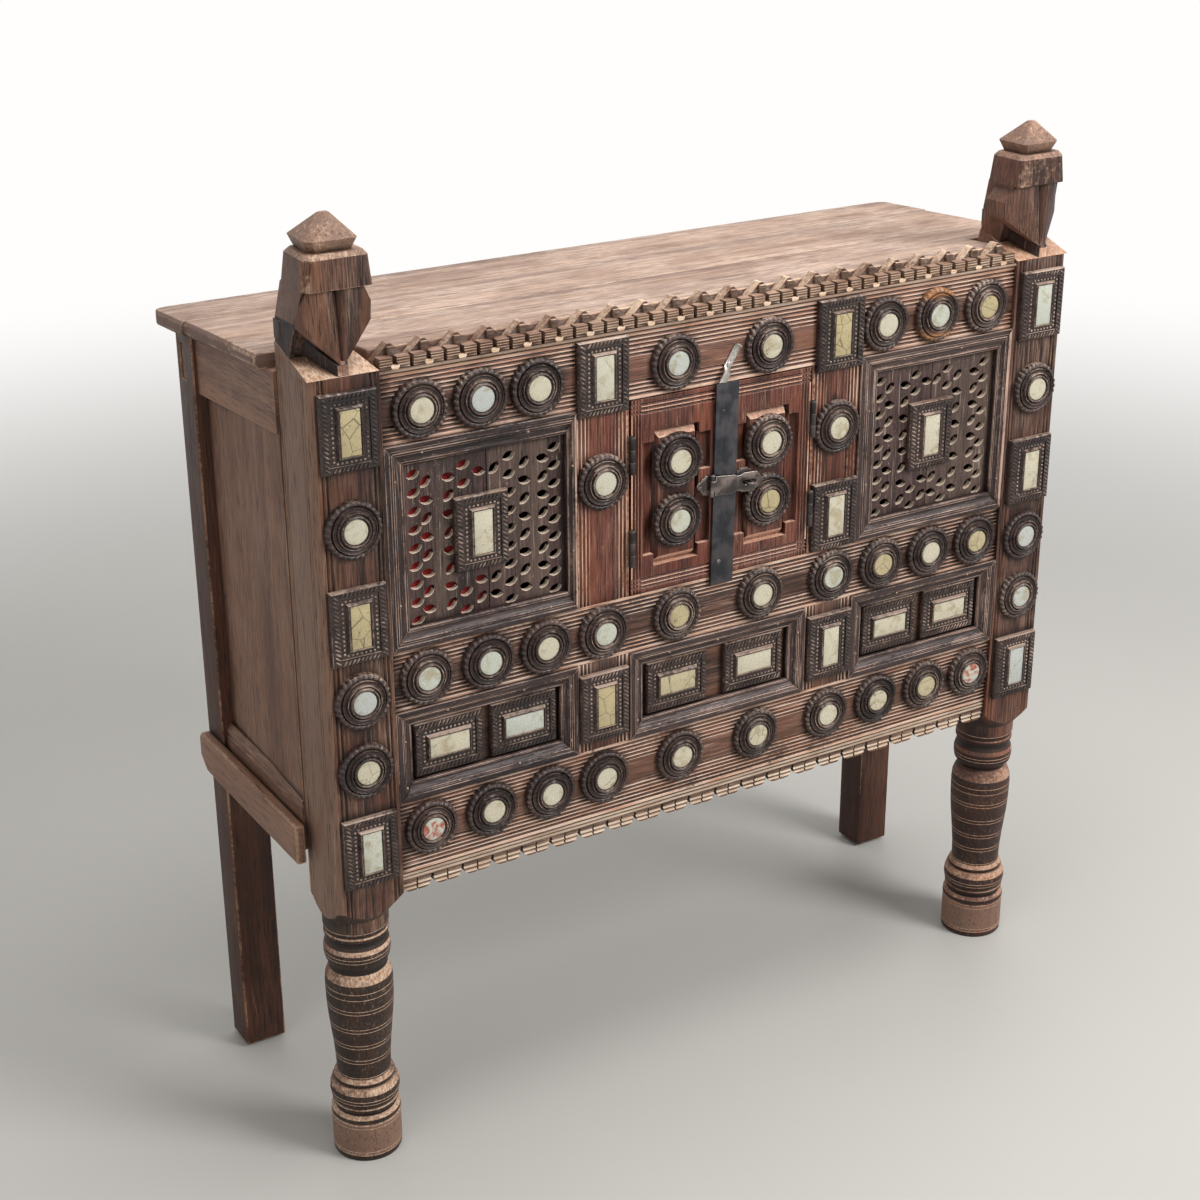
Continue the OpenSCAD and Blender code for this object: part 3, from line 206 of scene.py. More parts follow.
def newMaterial(name):
    made = bpy.data.materials.new(name)
    made.use_nodes = True
    return made, made.node_tree, made.node_tree.nodes["Principled BSDF"]


def roughen(tree, shader, roughness, height, strength, distance):
    tree.links.new(roughness, shader.inputs["Roughness"])
    bump = put(tree, "ShaderNodeBump", {"Height": height, "Strength": strength, "Distance": distance})
    tree.links.new(bump.outputs[0], shader.inputs["Normal"])


def ramp(tree, value, low, high, outLow=0.0, outHigh=1.0, soft=True):
    return put(tree, "ShaderNodeMapRange", {0: value, 1: low, 2: high, 3: outLow, 4: outHigh},
               interpolation_type="SMOOTHSTEP" if soft else "LINEAR").outputs[0]


def newGroup(name, takes, gives):
    tree = bpy.data.node_groups.new(name, "ShaderNodeTree")
    for label, kind, start in takes:
        socket = tree.interface.new_socket(name=label, in_out="INPUT", socket_type=kind)
        socket.default_value = start
    for label, kind in gives:
        tree.interface.new_socket(name=label, in_out="OUTPUT", socket_type=kind)
    return tree, tree.nodes.new("NodeGroupInput"), tree.nodes.new("NodeGroupOutput")


# the run attribute is the direction of the grain, and the board attribute a number per board

grainLook = dict(squeeze=(-0.955, -0.955, -0.955), shift=(3.1, 7.7, 5.3), fibre=430.0, figure=42.0,
                 pores=640.0, scratch=300.0, fleck=310.0, band=17.0)


def makeGrainGroup():
    tree, takes, gives = newGroup("sawnGrain", [("Fineness", "NodeSocketFloat", 1.0)], [
        ("Fibre", "NodeSocketFloat"), ("Figure", "NodeSocketFloat"), ("Pores", "NodeSocketFloat"),
        ("Scratch", "NodeSocketFloat"), ("Fleck", "NodeSocketFloat"), ("Band", "NodeSocketFloat"),
        ("Board", "NodeSocketFloat")])
    place = objectSpot(tree)
    run = put(tree, "ShaderNodeAttribute", attribute_name="run").outputs["Vector"]
    board = put(tree, "ShaderNodeAttribute", attribute_name="board")
    stretch = move(tree, "MULTIPLY_ADD", run, grainLook["squeeze"], (1, 1, 1))
    along = move(tree, "MULTIPLY", place, stretch)
    spot = move(tree, "ADD", along, move(tree, "MULTIPLY", board.outputs["Vector"], grainLook["shift"]))
    fineness = times(tree, takes.outputs["Fineness"], grainLook["fibre"])
    masks = dict(
        Fibre=noiseOf(tree, spot, fineness, 5.0, 0.62),
        Figure=ramp(tree, noiseOf(tree, spot, grainLook["figure"], 6.0, 0.58, 0.7), 0.33, 0.67),
        Pores=ramp(tree, noiseOf(tree, spot, grainLook["pores"], 2.0), 0.56, 0.68),
        Scratch=ramp(tree, noiseOf(tree, spot, grainLook["scratch"], 2.0, 0.7), 0.60, 0.68),
        Fleck=ramp(tree, noiseOf(tree, place, grainLook["fleck"], 4.0, 0.7), 0.60, 0.70),
        Band=ramp(tree, noiseOf(tree, spot, grainLook["band"], 3.0, twist=0.5), 0.46, 0.62),
        Board=board.outputs["Fac"])
    for label, mask in masks.items():
        tree.links.new(mask, gives.inputs[label])
    return tree


def makeWearAndLightGroup():
    # this attribute is above zero on rubbed edges and on faces given a painted highlight, and below zero in
    # grooves and on faces given painted shade
    tree, takes, gives = newGroup("rubbedEdges", [
        ("Amount", "NodeSocketFloat", 1.0), ("Patchiness", "NodeSocketFloat", 1.0)], [
        ("Bare", "NodeSocketFloat"), ("Grime", "NodeSocketFloat"), ("Patch", "NodeSocketFloat")])
    place = objectSpot(tree)
    wear, cavity = attributeOf(tree, "wear"), attributeOf(tree, "cavity")
    patch = noiseOf(tree, place, 9.0, 4.0, 0.6)
    speck = math2(tree, "SUBTRACT", noiseOf(tree, place, 190.0, 3.0, 0.6), 0.5)
    rubbed = times(tree, wear, takes.outputs["Amount"])
    drift = times(tree, math2(tree, "SUBTRACT", patch, 0.5), takes.outputs["Patchiness"])
    total = plus(tree, plus(tree, rubbed, times(tree, drift, 3.2)), times(tree, speck, 1.6))
    bareAndHighlight = times(tree, ramp(tree, total, 0.3, 1.1), ramp(tree, wear, 0.0, 0.5))
    kept = math2(tree, "MAXIMUM", ramp(tree, cavity, 0.1, 0.75, 1.0, 0.25), ramp(tree, wear, 1.0, 1.8))
    tree.links.new(times(tree, bareAndHighlight, kept), gives.inputs["Bare"])
    # enclosed places, from the ray-measured cavity, are darkened as painted shade mixed with dirt
    closed = ramp(tree, plus(tree, cavity, times(tree, speck, 0.25)), 0.12, 0.85)
    closed = times(tree, closed, ramp(tree, wear, 0.6, 1.6, 1.0, 0.1))
    grimeAndShade = math2(tree, "MAXIMUM", ramp(tree, wear, 0.0, -1.0, soft=False), closed)
    tree.links.new(grimeAndShade, gives.inputs["Grime"])
    tree.links.new(ramp(tree, patch, 0.36, 0.66), gives.inputs["Patch"])
    return tree


makeCamera()
makeStudio()
grainGroup = makeGrainGroup()
wearAndLightGroup = makeWearAndLightGroup()

# finishes

woodLooks = dict(
    postTimber=dict(dark=(0.016, 0.008, 0.006), light=(0.140, 0.054, 0.034), fadedAndLit=(0.270, 0.175, 0.125),
                    bareAndHighlight=(0.72, 0.54, 0.40), tint=(0.34, 0.14, 0.06), grimeAndShade=(0.007, 0.004, 0.003),
                    amount=1.35, patchy=0.8, scratch=0.22, band=0.30, rough=0.5, bump=0.55),
    redPostTimber=dict(dark=(0.022, 0.008, 0.006), light=(0.150, 0.062, 0.042), fadedAndLit=(0.250, 0.160, 0.115),
                       bareAndHighlight=(0.60, 0.42, 0.30), tint=(0.36, 0.12, 0.05), grimeAndShade=(0.007, 0.004, 0.003),
                       amount=1.3, patchy=0.9, scratch=0.26, band=0.32, rough=0.5, bump=0.55),
    railTimber=dict(dark=(0.024, 0.009, 0.005), light=(0.175, 0.078, 0.052), fadedAndLit=(0.215, 0.120, 0.088),
                    bareAndHighlight=(0.74, 0.55, 0.43), tint=(0.50, 0.23, 0.13), grimeAndShade=(0.007, 0.004, 0.003),
                    amount=1.15, patchy=1.2, scratch=0.42, band=0.16, rough=0.46, bump=0.5),
    doorTimber=dict(dark=(0.032, 0.008, 0.005), light=(0.205, 0.055, 0.033), fadedAndLit=(0.205, 0.090, 0.064),
                    bareAndHighlight=(0.72, 0.50, 0.38), tint=(0.50, 0.20, 0.10), grimeAndShade=(0.008, 0.003, 0.002),
                    amount=1.05, patchy=1.1, scratch=0.36, band=0.08, rough=0.42, bump=0.45),
    frameTimber=dict(dark=(0.010, 0.006, 0.006), light=(0.054, 0.031, 0.028), fadedAndLit=(0.064, 0.042, 0.038),
                     bareAndHighlight=(0.56, 0.40, 0.32), tint=(0.26, 0.14, 0.10), grimeAndShade=(0.004, 0.003, 0.003),
                     amount=0.95, patchy=1.2, scratch=0.55, band=0.04, rough=0.36, bump=0.45),
    panelTimber=dict(dark=(0.020, 0.010, 0.008), light=(0.180, 0.085, 0.052), fadedAndLit=(0.150, 0.090, 0.070),
                     bareAndHighlight=(0.50, 0.36, 0.27), tint=(0.42, 0.19, 0.09), grimeAndShade=(0.005, 0.003, 0.003),
                     amount=0.9, patchy=1.0, scratch=0.40, band=0.25, rough=0.45, bump=0.45, dirtAndShade=0.5),
    latticeTimber=dict(dark=(0.018, 0.010, 0.008), light=(0.080, 0.042, 0.038), fadedAndLit=(0.098, 0.060, 0.054),
                       bareAndHighlight=(0.92, 0.77, 0.62), tint=(0.70, 0.52, 0.38), grimeAndShade=(0.006, 0.004, 0.003),
                       amount=1.1, patchy=0.4, scratch=0.32, band=0.08, rough=0.5, bump=0.55),
    crestTimber=dict(dark=(0.090, 0.040, 0.024), light=(0.400, 0.235, 0.160), fadedAndLit=(0.480, 0.320, 0.235),
                     bareAndHighlight=(0.86, 0.68, 0.52), tint=(0.62, 0.38, 0.23), grimeAndShade=(0.020, 0.009, 0.006),
                     amount=1.1, patchy=0.8, scratch=0.45, band=0.15, rough=0.52, bump=0.55),
    hangTimber=dict(dark=(0.055, 0.028, 0.018), light=(0.235, 0.135, 0.090), fadedAndLit=(0.340, 0.230, 0.170),
                    bareAndHighlight=(0.84, 0.68, 0.52), tint=(0.52, 0.32, 0.20), grimeAndShade=(0.014, 0.007, 0.005),
                    amount=1.1, patchy=0.8, scratch=0.45, band=0.15, rough=0.52, bump=0.55),
    topTimber=dict(dark=(0.160, 0.092, 0.068), light=(0.560, 0.395, 0.305), fadedAndLit=(0.740, 0.560, 0.455),
                   bareAndHighlight=(0.70, 0.52, 0.38), tint=(0.40, 0.22, 0.13), grimeAndShade=(0.040, 0.022, 0.016),
                   amount=0.7, patchy=1.0, scratch=0.10, band=0.22, rough=0.55, bump=0.8, fine=1.8),
    sideTimber=dict(dark=(0.090, 0.044, 0.030), light=(0.310, 0.165, 0.108), fadedAndLit=(0.330, 0.205, 0.150),
                    bareAndHighlight=(0.50, 0.35, 0.24), tint=(0.32, 0.15, 0.075), grimeAndShade=(0.014, 0.008, 0.006),
                    amount=0.8, patchy=0.9, scratch=0.14, band=0.2, rough=0.55, bump=0.55, fine=1.6),
    rearTimber=dict(dark=(0.020, 0.007, 0.004), light=(0.080, 0.026, 0.014), fadedAndLit=(0.110, 0.050, 0.032),
                    bareAndHighlight=(0.40, 0.24, 0.15), tint=(0.26, 0.10, 0.04), grimeAndShade=(0.008, 0.004, 0.003),
                    amount=0.7, patchy=0.9, scratch=0.25, band=0.12, rough=0.5, bump=0.55),
    innerTimber=dict(dark=(0.080, 0.050, 0.036), light=(0.230, 0.160, 0.115), fadedAndLit=(0.260, 0.195, 0.150),
                     bareAndHighlight=(0.34, 0.25, 0.18), tint=(0.30, 0.19, 0.12), grimeAndShade=(0.03, 0.02, 0.015),
                     amount=0.5, patchy=0.6, scratch=0.15, band=0.1, rough=0.68, bump=0.5),
    bossTimber=dict(dark=(0.010, 0.005, 0.0045), light=(0.074, 0.041, 0.033), fadedAndLit=(0.102, 0.061, 0.050),
                    bareAndHighlight=(0.50, 0.38, 0.31), tint=(0.24, 0.15, 0.10), grimeAndShade=(0.006, 0.004, 0.003),
                    amount=0.55, patchy=0.9, scratch=0.26, band=0.0, rough=0.33, bump=0.3,
                    gloss=0.4, dirtAndShade=0.8, gilt=(0.60, 0.24, 0.06)))


def makeWood(name, look):
    made, tree, shader = newMaterial(name)
    grain = put(tree, "ShaderNodeGroup", node_tree=grainGroup)
    grain.inputs["Fineness"].default_value = look.get("fine", 1.0)
    worn = put(tree, "ShaderNodeGroup", node_tree=wearAndLightGroup)
    worn.inputs["Amount"].default_value = look["amount"]
    worn.inputs["Patchiness"].default_value = look["patchy"]
    fibre, figure, pores, scratch, fleck, band, board = (grain.outputs[k] for k in (
        "Fibre", "Figure", "Pores", "Scratch", "Fleck", "Band", "Board"))
    dark, light, fadedAndLit, bareAndHighlight, tint, grimeAndShade = ((*look[k], 1) for k in (
        "dark", "light", "fadedAndLit", "bareAndHighlight", "tint", "grimeAndShade"))
    paint = attributeOf(tree, "paint")
    gilded = "gilt" in look
    boardShade = ramp(tree, board, 0.0, 1.0, -0.14, 0.14, soft=False)
    streak = ramp(tree, fibre, 0.34, 0.64, -0.28, 0.34, soft=False)
    tone = plus(tree, times(tree, figure, 0.62), plus(tree, streak, boardShade))
    colour = blend(tree, plus(tree, tone, plus(tree, 0.0 if gilded else paint, 0.08)), dark, light)
    colour = blend(tree, times(tree, band, look["band"]), colour, tint)
    fade = times(tree, worn.outputs["Patch"], ramp(tree, fibre, 0.40, 0.62))
    colour = blend(tree, times(tree, fade, 0.7), colour, fadedAndLit)
    if not gilded:
        # where the paint attribute is high or low the wood takes the lighter or the dark colour; on the posts
        # this carries painted light and shade on lit and unlit faces
        colour = blend(tree, ramp(tree, paint, 0.3, 1.2), colour, fadedAndLit)
        colour = blend(tree, ramp(tree, paint, -0.2, -1.0), colour, dark)
    colour = blend(tree, times(tree, pores, 0.7), colour, grimeAndShade)
    bareAndHighlightTone = blend(tree, ramp(tree, fibre, 0.3, 0.66), tint, bareAndHighlight)
    patchy = plus(tree, times(tree, worn.outputs["Patch"], 0.75), 0.25)
    rubbed = times(tree, math2(tree, "MAXIMUM", scratch, fleck), patchy)
    colour = blend(tree, times(tree, rubbed, look["scratch"]), colour, bareAndHighlightTone)
    # the pale mask covers rubbed edges and faces given a painted highlight
    colour = blend(tree, worn.outputs["Bare"], colour, bareAndHighlightTone)
    if gilded:
        leaf = times(tree, paint, plus(tree, fleck, figure))
        colour = blend(tree, ramp(tree, leaf, 0.45, 0.8), colour, (*look["gilt"], 1))
    # the dark mask is dirt together with painted shade in grooves, on faces turned down and in enclosed
    # places
    colour = blend(tree, times(tree, worn.outputs["Grime"], look.get("dirtAndShade", 0.9)), colour, grimeAndShade)
    tree.links.new(colour, shader.inputs["Base Color"])
    shader.inputs["Specular IOR Level"].default_value = look.get("gloss", 0.3)
    sheen = ramp(tree, fibre, 0.3, 0.7, look["rough"] - 0.1, look["rough"] + 0.12)
    height = math2(tree, "SUBTRACT", fibre, times(tree, pores, 0.5))
    roughen(tree, shader, sheen, height, look["bump"], 0.0014)
    return made


metalLooks = dict(
    blackIron=dict(deep=(0.020, 0.021, 0.026), thin=(0.055, 0.055, 0.062), rust=(0.090, 0.045, 0.028),
                   rubbed=(0.34, 0.32, 0.31), metallic=0.55, rough=0.42),
    hingeIron=dict(deep=(0.028, 0.024, 0.024), thin=(0.070, 0.062, 0.060), rust=(0.11, 0.055, 0.034),
                   rubbed=(0.24, 0.22, 0.21), metallic=0.7, rough=0.48),
    haspSteel=dict(deep=(0.060, 0.050, 0.046), thin=(0.210, 0.170, 0.155), rust=(0.14, 0.075, 0.05),
                   rubbed=(0.42, 0.39, 0.36), metallic=0.85, rough=0.40),
    catchNickel=dict(deep=(0.30, 0.28, 0.25), thin=(0.60, 0.58, 0.54), rust=(0.20, 0.15, 0.11),
                     rubbed=(0.78, 0.76, 0.72), metallic=0.95, rough=0.28))


def makeMetal(name, look):
    made, tree, shader = newMaterial(name)
    spot = objectSpot(tree)
    worn = put(tree, "ShaderNodeGroup", node_tree=wearAndLightGroup)
    broad = noiseOf(tree, spot, 60.0, 5.0)
    fine = noiseOf(tree, spot, 520.0, 4.0)
    deep, thin, rust, rubbed = ((*look[k], 1) for k in ("deep", "thin", "rust", "rubbed"))
    colour = blend(tree, ramp(tree, broad, 0.35, 0.65), deep, thin)
    rusty = times(tree, ramp(tree, fine, 0.5, 0.68), ramp(tree, broad, 0.45, 0.62))
    colour = blend(tree, rusty, colour, rust)
    colour = blend(tree, worn.outputs["Bare"], colour, rubbed)
    tree.links.new(colour, shader.inputs["Base Color"])
    shader.inputs["Metallic"].default_value = look["metallic"]
    sheen = ramp(tree, fine, 0.3, 0.7, look["rough"] - 0.1, look["rough"] + 0.16)
    roughen(tree, shader, sheen, plus(tree, fine, broad), 0.35, 0.0006)
    return made


mirrorLook = dict(cool=(0.49, 0.51, 0.49, 1), green=(0.54, 0.56, 0.48, 1), cream=(0.60, 0.55, 0.42, 1),
                  yellow=(0.48, 0.40, 0.22, 1), speck=(0.08, 0.06, 0.04, 1), stain=(0.37, 0.30, 0.17, 1),
                  red=(0.42, 0.10, 0.06, 1))


def makeMirror():
    made, tree, shader = newMaterial("agedMirror")
    board = put(tree, "ShaderNodeAttribute", attribute_name="board")
    number = board.outputs["Fac"]
    shift = move(tree, "ADD", objectSpot(tree), board.outputs["Vector"])
    cloud = noiseOf(tree, shift, 48.0, 4.0, 0.6, 1.0)
    dots = noiseOf(tree, shift, 260.0, 3.0, 0.6)
    cells = put(tree, "ShaderNodeTexVoronoi", {"Vector": shift, "Scale": 34.0}, feature="DISTANCE_TO_EDGE")
    colour = blend(tree, ramp(tree, number, 0.02, 0.14), mirrorLook["cool"], mirrorLook["green"])
    spots = times(tree, ramp(tree, dots, 0.60, 0.68), ramp(tree, number, 0.1, 0.9, 0.25, 0.85))
    cracks = times(tree, ramp(tree, cells.outputs[0], 0.008, 0.02, 0.7, 0.0), ramp(tree, number, 0.78, 0.9))
    layers = [(ramp(tree, number, 0.22, 0.42), "cream"), (ramp(tree, number, 0.82, 0.95), "yellow"),
              (ramp(tree, cloud, 0.50, 0.68, 0.0, 0.65), "stain"),
              (times(tree, spots, ramp(tree, cloud, 0.44, 0.56)), "speck"), (cracks, "speck"),
              (times(tree, attributeOf(tree, "paint"), ramp(tree, cloud, 0.42, 0.60)), "red"),
              (times(tree, attributeOf(tree, "wear"), 0.8), "speck")]
    for share, key in layers:
        colour = blend(tree, share, colour, mirrorLook[key])
    tree.links.new(colour, shader.inputs["Base Color"])
    shader.inputs["Metallic"].default_value = 0.3
    roughen(tree, shader, ramp(tree, dots, 0.3, 0.7, 0.14, 0.34), cloud, 0.12, 0.001)
    return made


finishes = {name: makeWood(name, look) for name, look in woodLooks.items()}
finishes.update({name: makeMetal(name, look) for name, look in metalLooks.items()})
finishes["agedMirror"] = makeMirror()
print("finishes made:", len(finishes))

# mesh helpers


def layersOf(shape):
    found = shape.faces.layers
    return {key: (found.float.get(key) or found.float.new(key)) for key in ("wear", "board", "paint")}


def islandsOf(shape):
    # the islands come in the order of their places, so that every run draws the same numbers for them
    left, groups = set(shape.faces), []
    for seed in shape.faces:
        if seed not in left:
            continue
        left.discard(seed)
        group, edge = [seed], [seed]
        while edge:
            face = edge.pop()
            for side in face.edges:
                for other in side.link_faces:
                    if other in left:
                        left.discard(other)
                        group.append(other)
                        edge.append(other)
        groups.append(group)
    return sorted(groups, key=placeOf)


def linked(verts, kind):
    return list(dict.fromkeys(part for v in verts for part in getattr(v, kind)))


def spanOf(faces):
    spots = [v.co for f in faces for v in f.verts]
    low = Vector([min(s[i] for s in spots) for i in range(3)])
    high = Vector([max(s[i] for s in spots) for i in range(3)])
    return low, high


def placeOf(faces):
    # the small shift keeps the round sizes of the solids away from the limits of rounding
    return [round(value + 0.000013, 4) for corner in spanOf(faces) for value in corner]


def mergedCopy(node, flatness=0.7):
    shape = bmesh.new()
    layersOf(shape)
    shape.from_mesh(cadNodes[node].data)
    bmesh.ops.remove_doubles(shape, verts=shape.verts, dist=1e-5)
    bmesh.ops.dissolve_limit(shape, angle_limit=math.radians(flatness), verts=shape.verts, edges=shape.edges)
    return shape


def solidSpans(node):
    shape = mergedCopy(node)
    spans = [spanOf(group) for group in islandsOf(shape)]
    shape.free()
    return sorted(spans, key=lambda s: (round(s[0].z, 3), round(s[0].x, 3)))


def easeEdges(shape, width, sharp=24, segments=2):
    layers = layersOf(shape)
    chosen = [e for e in shape.edges if len(e.link_faces) == 2
              and e.calc_face_angle_signed(0) > math.radians(sharp)]
    made = bmesh.ops.bevel(shape, geom=chosen, offset=width, offset_type="OFFSET", segments=segments,
                           profile=0.5, affect="EDGES", clamp_overlap=True, material=-1)
    for face in made["faces"]:
        face[layers["wear"]] = 1.0


def markGrain(shape, along=None):
    layers = layersOf(shape)
    run = shape.faces.layers.float_vector.get("run") or shape.faces.layers.float_vector.new("run")
    for group in islandsOf(shape):
        low, high = spanOf(group)
        size = high - low
        axis = along if along is not None else max(range(3), key=lambda i: size[i])
        direction = Vector([1.0 if i == axis else 0.0 for i in range(3)])
        number = chance.random()
        for face in group:
            face[run] = direction
            face[layers["board"]] = number


def finish(shape, name, material, node, smooth=34):
    mesh = meshFrom(shape, name)
    mesh.shade_smooth()
    mesh.set_sharp_from_angle(angle=math.radians(smooth))
    mesh.materials.append(finishes[material])
    piece = addObject(name, mesh)
    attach(piece, cadNodes[node]["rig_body"])
    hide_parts(node)
    return piece


def markReeds(shape, flat, wall, widest=0.0045, shortest=0.02):
    # narrow flats between grooves are made pale, as rubbed wear with a painted highlight; groove walls turned
    # up or left take the wall value, the others are painted dark as painted shade
    layers = layersOf(shape)
    wear = layers["wear"]
    for face in shape.faces:
        if face[wear] > 0:
            continue
        low, high = spanOf([face])
        size = sorted(high - low, reverse=True)
        n = face.normal
        slanted = max(abs(n.x), abs(n.y), abs(n.z)) < 0.94
        if slanted and size[1] < widest and size[0] > shortest:
            face[wear] = wall if n.z > 0.2 or n.x < -0.2 else -1.0
        elif size[1] < widest and size[0] > shortest and size[2] < 1e-4 and n.y < -0.5:
            face[wear] = flat


def markFacing(shape, test, amount, key="wear"):
    layer = layersOf(shape)[key]
    for face in shape.faces:
        if test(face.normal, face.calc_center_median()):
            face[layer] = amount


# painted shade mixed with dirt: the wood darkens where the surroundings close in, which rays measure on the
# finished shapes

cavityLook = dict(reach=0.020, rays=12, lift=0.00035, cell=0.017)
cutAxes = {"rail": (0, 2), "stile": (0, 2), "panel": (0, 2), "leaf": (0, 2), "front_post": (0, 2),
           "frame": (0, 2), "side_panels": (1, 2), "rear_post": (2,), "side_top_rails": (1,),
           "side_bottom_rails": (1,), "side_battens": (1,)}


def cutCells(shape, axes):
    low, high = spanOf(shape.faces)
    for axis in axes:
        count = int((high[axis] - low[axis]) / cavityLook["cell"])
        for i in range(1, count):
            spot = low.copy()
            spot[axis] += (high[axis] - low[axis]) * i / count
            across = Vector([1.0 if k == axis else 0.0 for k in range(3)])
            bmesh.ops.bisect_plane(shape, geom=shape.verts[:] + shape.edges[:] + shape.faces[:], dist=1e-6,
                                   plane_co=spot, plane_no=across)


def polygonsOf(mesh, spots, faces):
    start = len(spots)
    spots.extend(v.co.copy() for v in mesh.vertices)
    faces.extend([start + i for i in poly.vertices] for poly in mesh.polygons)


def measureCavity(mesh, tree):
    golden = math.pi * (3 - math.sqrt(5))
    spread = []
    for i in range(cavityLook["rays"]):
        z = 1 - 0.9 * (i + 0.5) / cavityLook["rays"]
        r = math.sqrt(1 - z * z)
        spread.append(Vector((r * math.cos(i * golden), r * math.sin(i * golden), z)))
    reach, found = cavityLook["reach"], []
    for v in mesh.vertices:
        turn = v.normal.to_track_quat("Z", "Y").to_matrix()
        start = v.co + v.normal * cavityLook["lift"]
        blocked = 0.0
        for direction in spread:
            distance = tree.ray_cast(start, turn @ direction, reach)[3]
            if distance is not None:
                blocked += 1 - 0.7 * distance / reach
        found.append(blocked / len(spread))
    layer = mesh.attributes.get("cavity") or mesh.attributes.new("cavity", "FLOAT", "POINT")
    layer.data.foreach_set("value", found)


def measureMaster(mesh):
    spots, faces = [], []
    polygonsOf(mesh, spots, faces)
    # a square under the master stands for the board below, so the foot of the boss is painted darker as
    # painted shade
    start = len(spots)
    spots += [Vector((x, y, 0)) for x, y in ((-0.1, -0.1), (0.1, -0.1), (0.1, 0.1), (-0.1, 0.1))]
    faces.append([start, start + 1, start + 2, start + 3])
    measureCavity(mesh, BVHTree.FromPolygons(spots, faces))


def measureBoards(pieces, bossNodes):
    spots, faces = [], []
    for piece in pieces:
        polygonsOf(piece.data, spots, faces)
    # the bosses block rays too, so the boards around them are painted darker as painted shade
    for node in bossNodes:
        polygonsOf(cadNodes[node].data, spots, faces)
    tree = BVHTree.FromPolygons(spots, faces)
    for piece in pieces:
        measureCavity(piece.data, tree)
    print("cavities measured:", len(pieces), "pieces,", len(spots), "points")


# turned legs, posts and finials: heights in mm from the floor, ribs in mm from the finial's outer, front
# and lower edge, and the finial's parts as shares of its height

postLook = dict(scribed=[8, 13, 50, 55, 87, 92, 123, 146, 151, 170, 175, 196, 201, 225, 230, 247, 256, 301,
                         306, 343],
                line=0.9, grooves=[(67, 72), (283, 289), (318, 329)], foot=(8, 57), legTop=349,
                squareFrom=400, outer=560, shoulder=1.074, rise=0.183, cap=0.766, neck=0.733, drum=0.54,
                ribs=((-2, 79, 44), (58, 79, 44)), otherRibs=((-2, 79, 44), (71, 79, 44)),
                ribEnd=(39, 5, 7), ribTop=0.32, ribReach=9.5)


def scribeLeg(shape):
    for height in postLook["scribed"]:
        for z in (height / 1000, (height + postLook["line"]) / 1000):
            everything = shape.verts[:] + shape.edges[:] + shape.faces[:]
            bmesh.ops.bisect_plane(shape, geom=everything, dist=1e-6, plane_co=(0, 0, z), plane_no=(0, 0, 1))


def markPost(shape):
    # faces turned up or to the left are painted lighter and faces turned down darker, as painted light and
    # shade; the leg grooves and the sideways faces near the front of the finial are painted dark as painted
    # shade
    layers = layersOf(shape)
    wear, paint = layers["wear"], layers["paint"]
    low = spanOf(shape.faces)[0]
    side = -1 if low.x < 0 else 1
    ribs = postLook["ribs"] if side < 0 else postLook["otherRibs"]
    ribs = [(Vector(start), Vector(postLook["ribEnd"])) for start in ribs]
    for face in shape.faces:
        middle, n = face.calc_center_median(), face.normal
        z = middle.z * 1000
        part = (middle.z - postLook["shoulder"]) / postLook["rise"]
        if z < postLook["legTop"]:
            face[paint] = 0.8 if postLook["foot"][0] < z < postLook["foot"][1] else -0.75
            if n.z > 0.22:
                face[paint], face[wear] = 0.5, 0.5
            elif n.z < -0.2:
                face[paint] = -0.9
            if any(a < z < b for a, b in postLook["grooves"]):
                face[wear] = -0.9
            if any(h <= z <= h + postLook["line"] for h in postLook["scribed"]):
                face[wear] = 1.2
        elif part < 0.004:
            if n.z > 0.5:
                face[paint], face[wear] = 0.95, 1.4
            elif n.y < -0.8:
                face[paint] = 0.05
            elif n.x * side > 0.7 and z > postLook["squareFrom"]:
                face[paint] = 0.8 if side < 0 else 0.2
            elif z < postLook["squareFrom"]:
                face[paint] = -0.6
        else:
            front = (middle.y - low.y) * 1000
            across = postLook["outer"] - side * middle.x * 1000
            spot = Vector((across, front, part * postLook["rise"] * 1000))
            near = min((geometry.intersect_point_line(spot, *rib)[0] - spot).length for rib in ribs)
            onRib = part < postLook["ribTop"] and near < postLook["ribReach"]
            lit = n.x < -0.15
            shoulder = part < 0.15 and (n.z > 0.93 or (n.z > 0.5 and abs(n.x) > 0.7))
            if shoulder:
                face[paint], face[wear] = 0.95, 1.12
            elif part > postLook["cap"]:
                face[paint], face[wear] = 0.8, 0.4
            elif part > postLook["neck"]:
                face[paint], face[wear] = 0.8, 0.5
            elif part > postLook["drum"]:
                face[paint] = 0.1 if n.y < -0.7 else 0.35
                if side > 0 and n.y < -0.7:
                    face[paint], face[wear] = -0.3, 0.4
                elif n.y < -0.2 and lit:
                    face[wear] = 0.4
            elif onRib:
                face[paint] = -1.0
                if front < 6 and n.y < -0.8:
                    face[paint], face[wear] = 0.6, 0.6
            elif n.z > 0.25 and part < 0.3:
                face[paint], face[wear] = 0.9, 0.2
            elif n.y < -0.2 and abs(n.x) > 0.8 and front < 30:
                face[wear] = -0.9
            else:
                face[paint] = 0.5 if lit else -0.2


# door leaves: borders in metres, depths behind the front in mm

doorLook = dict(side=0.012, end=0.03, floor=(5, 12), walls=(1, 9))


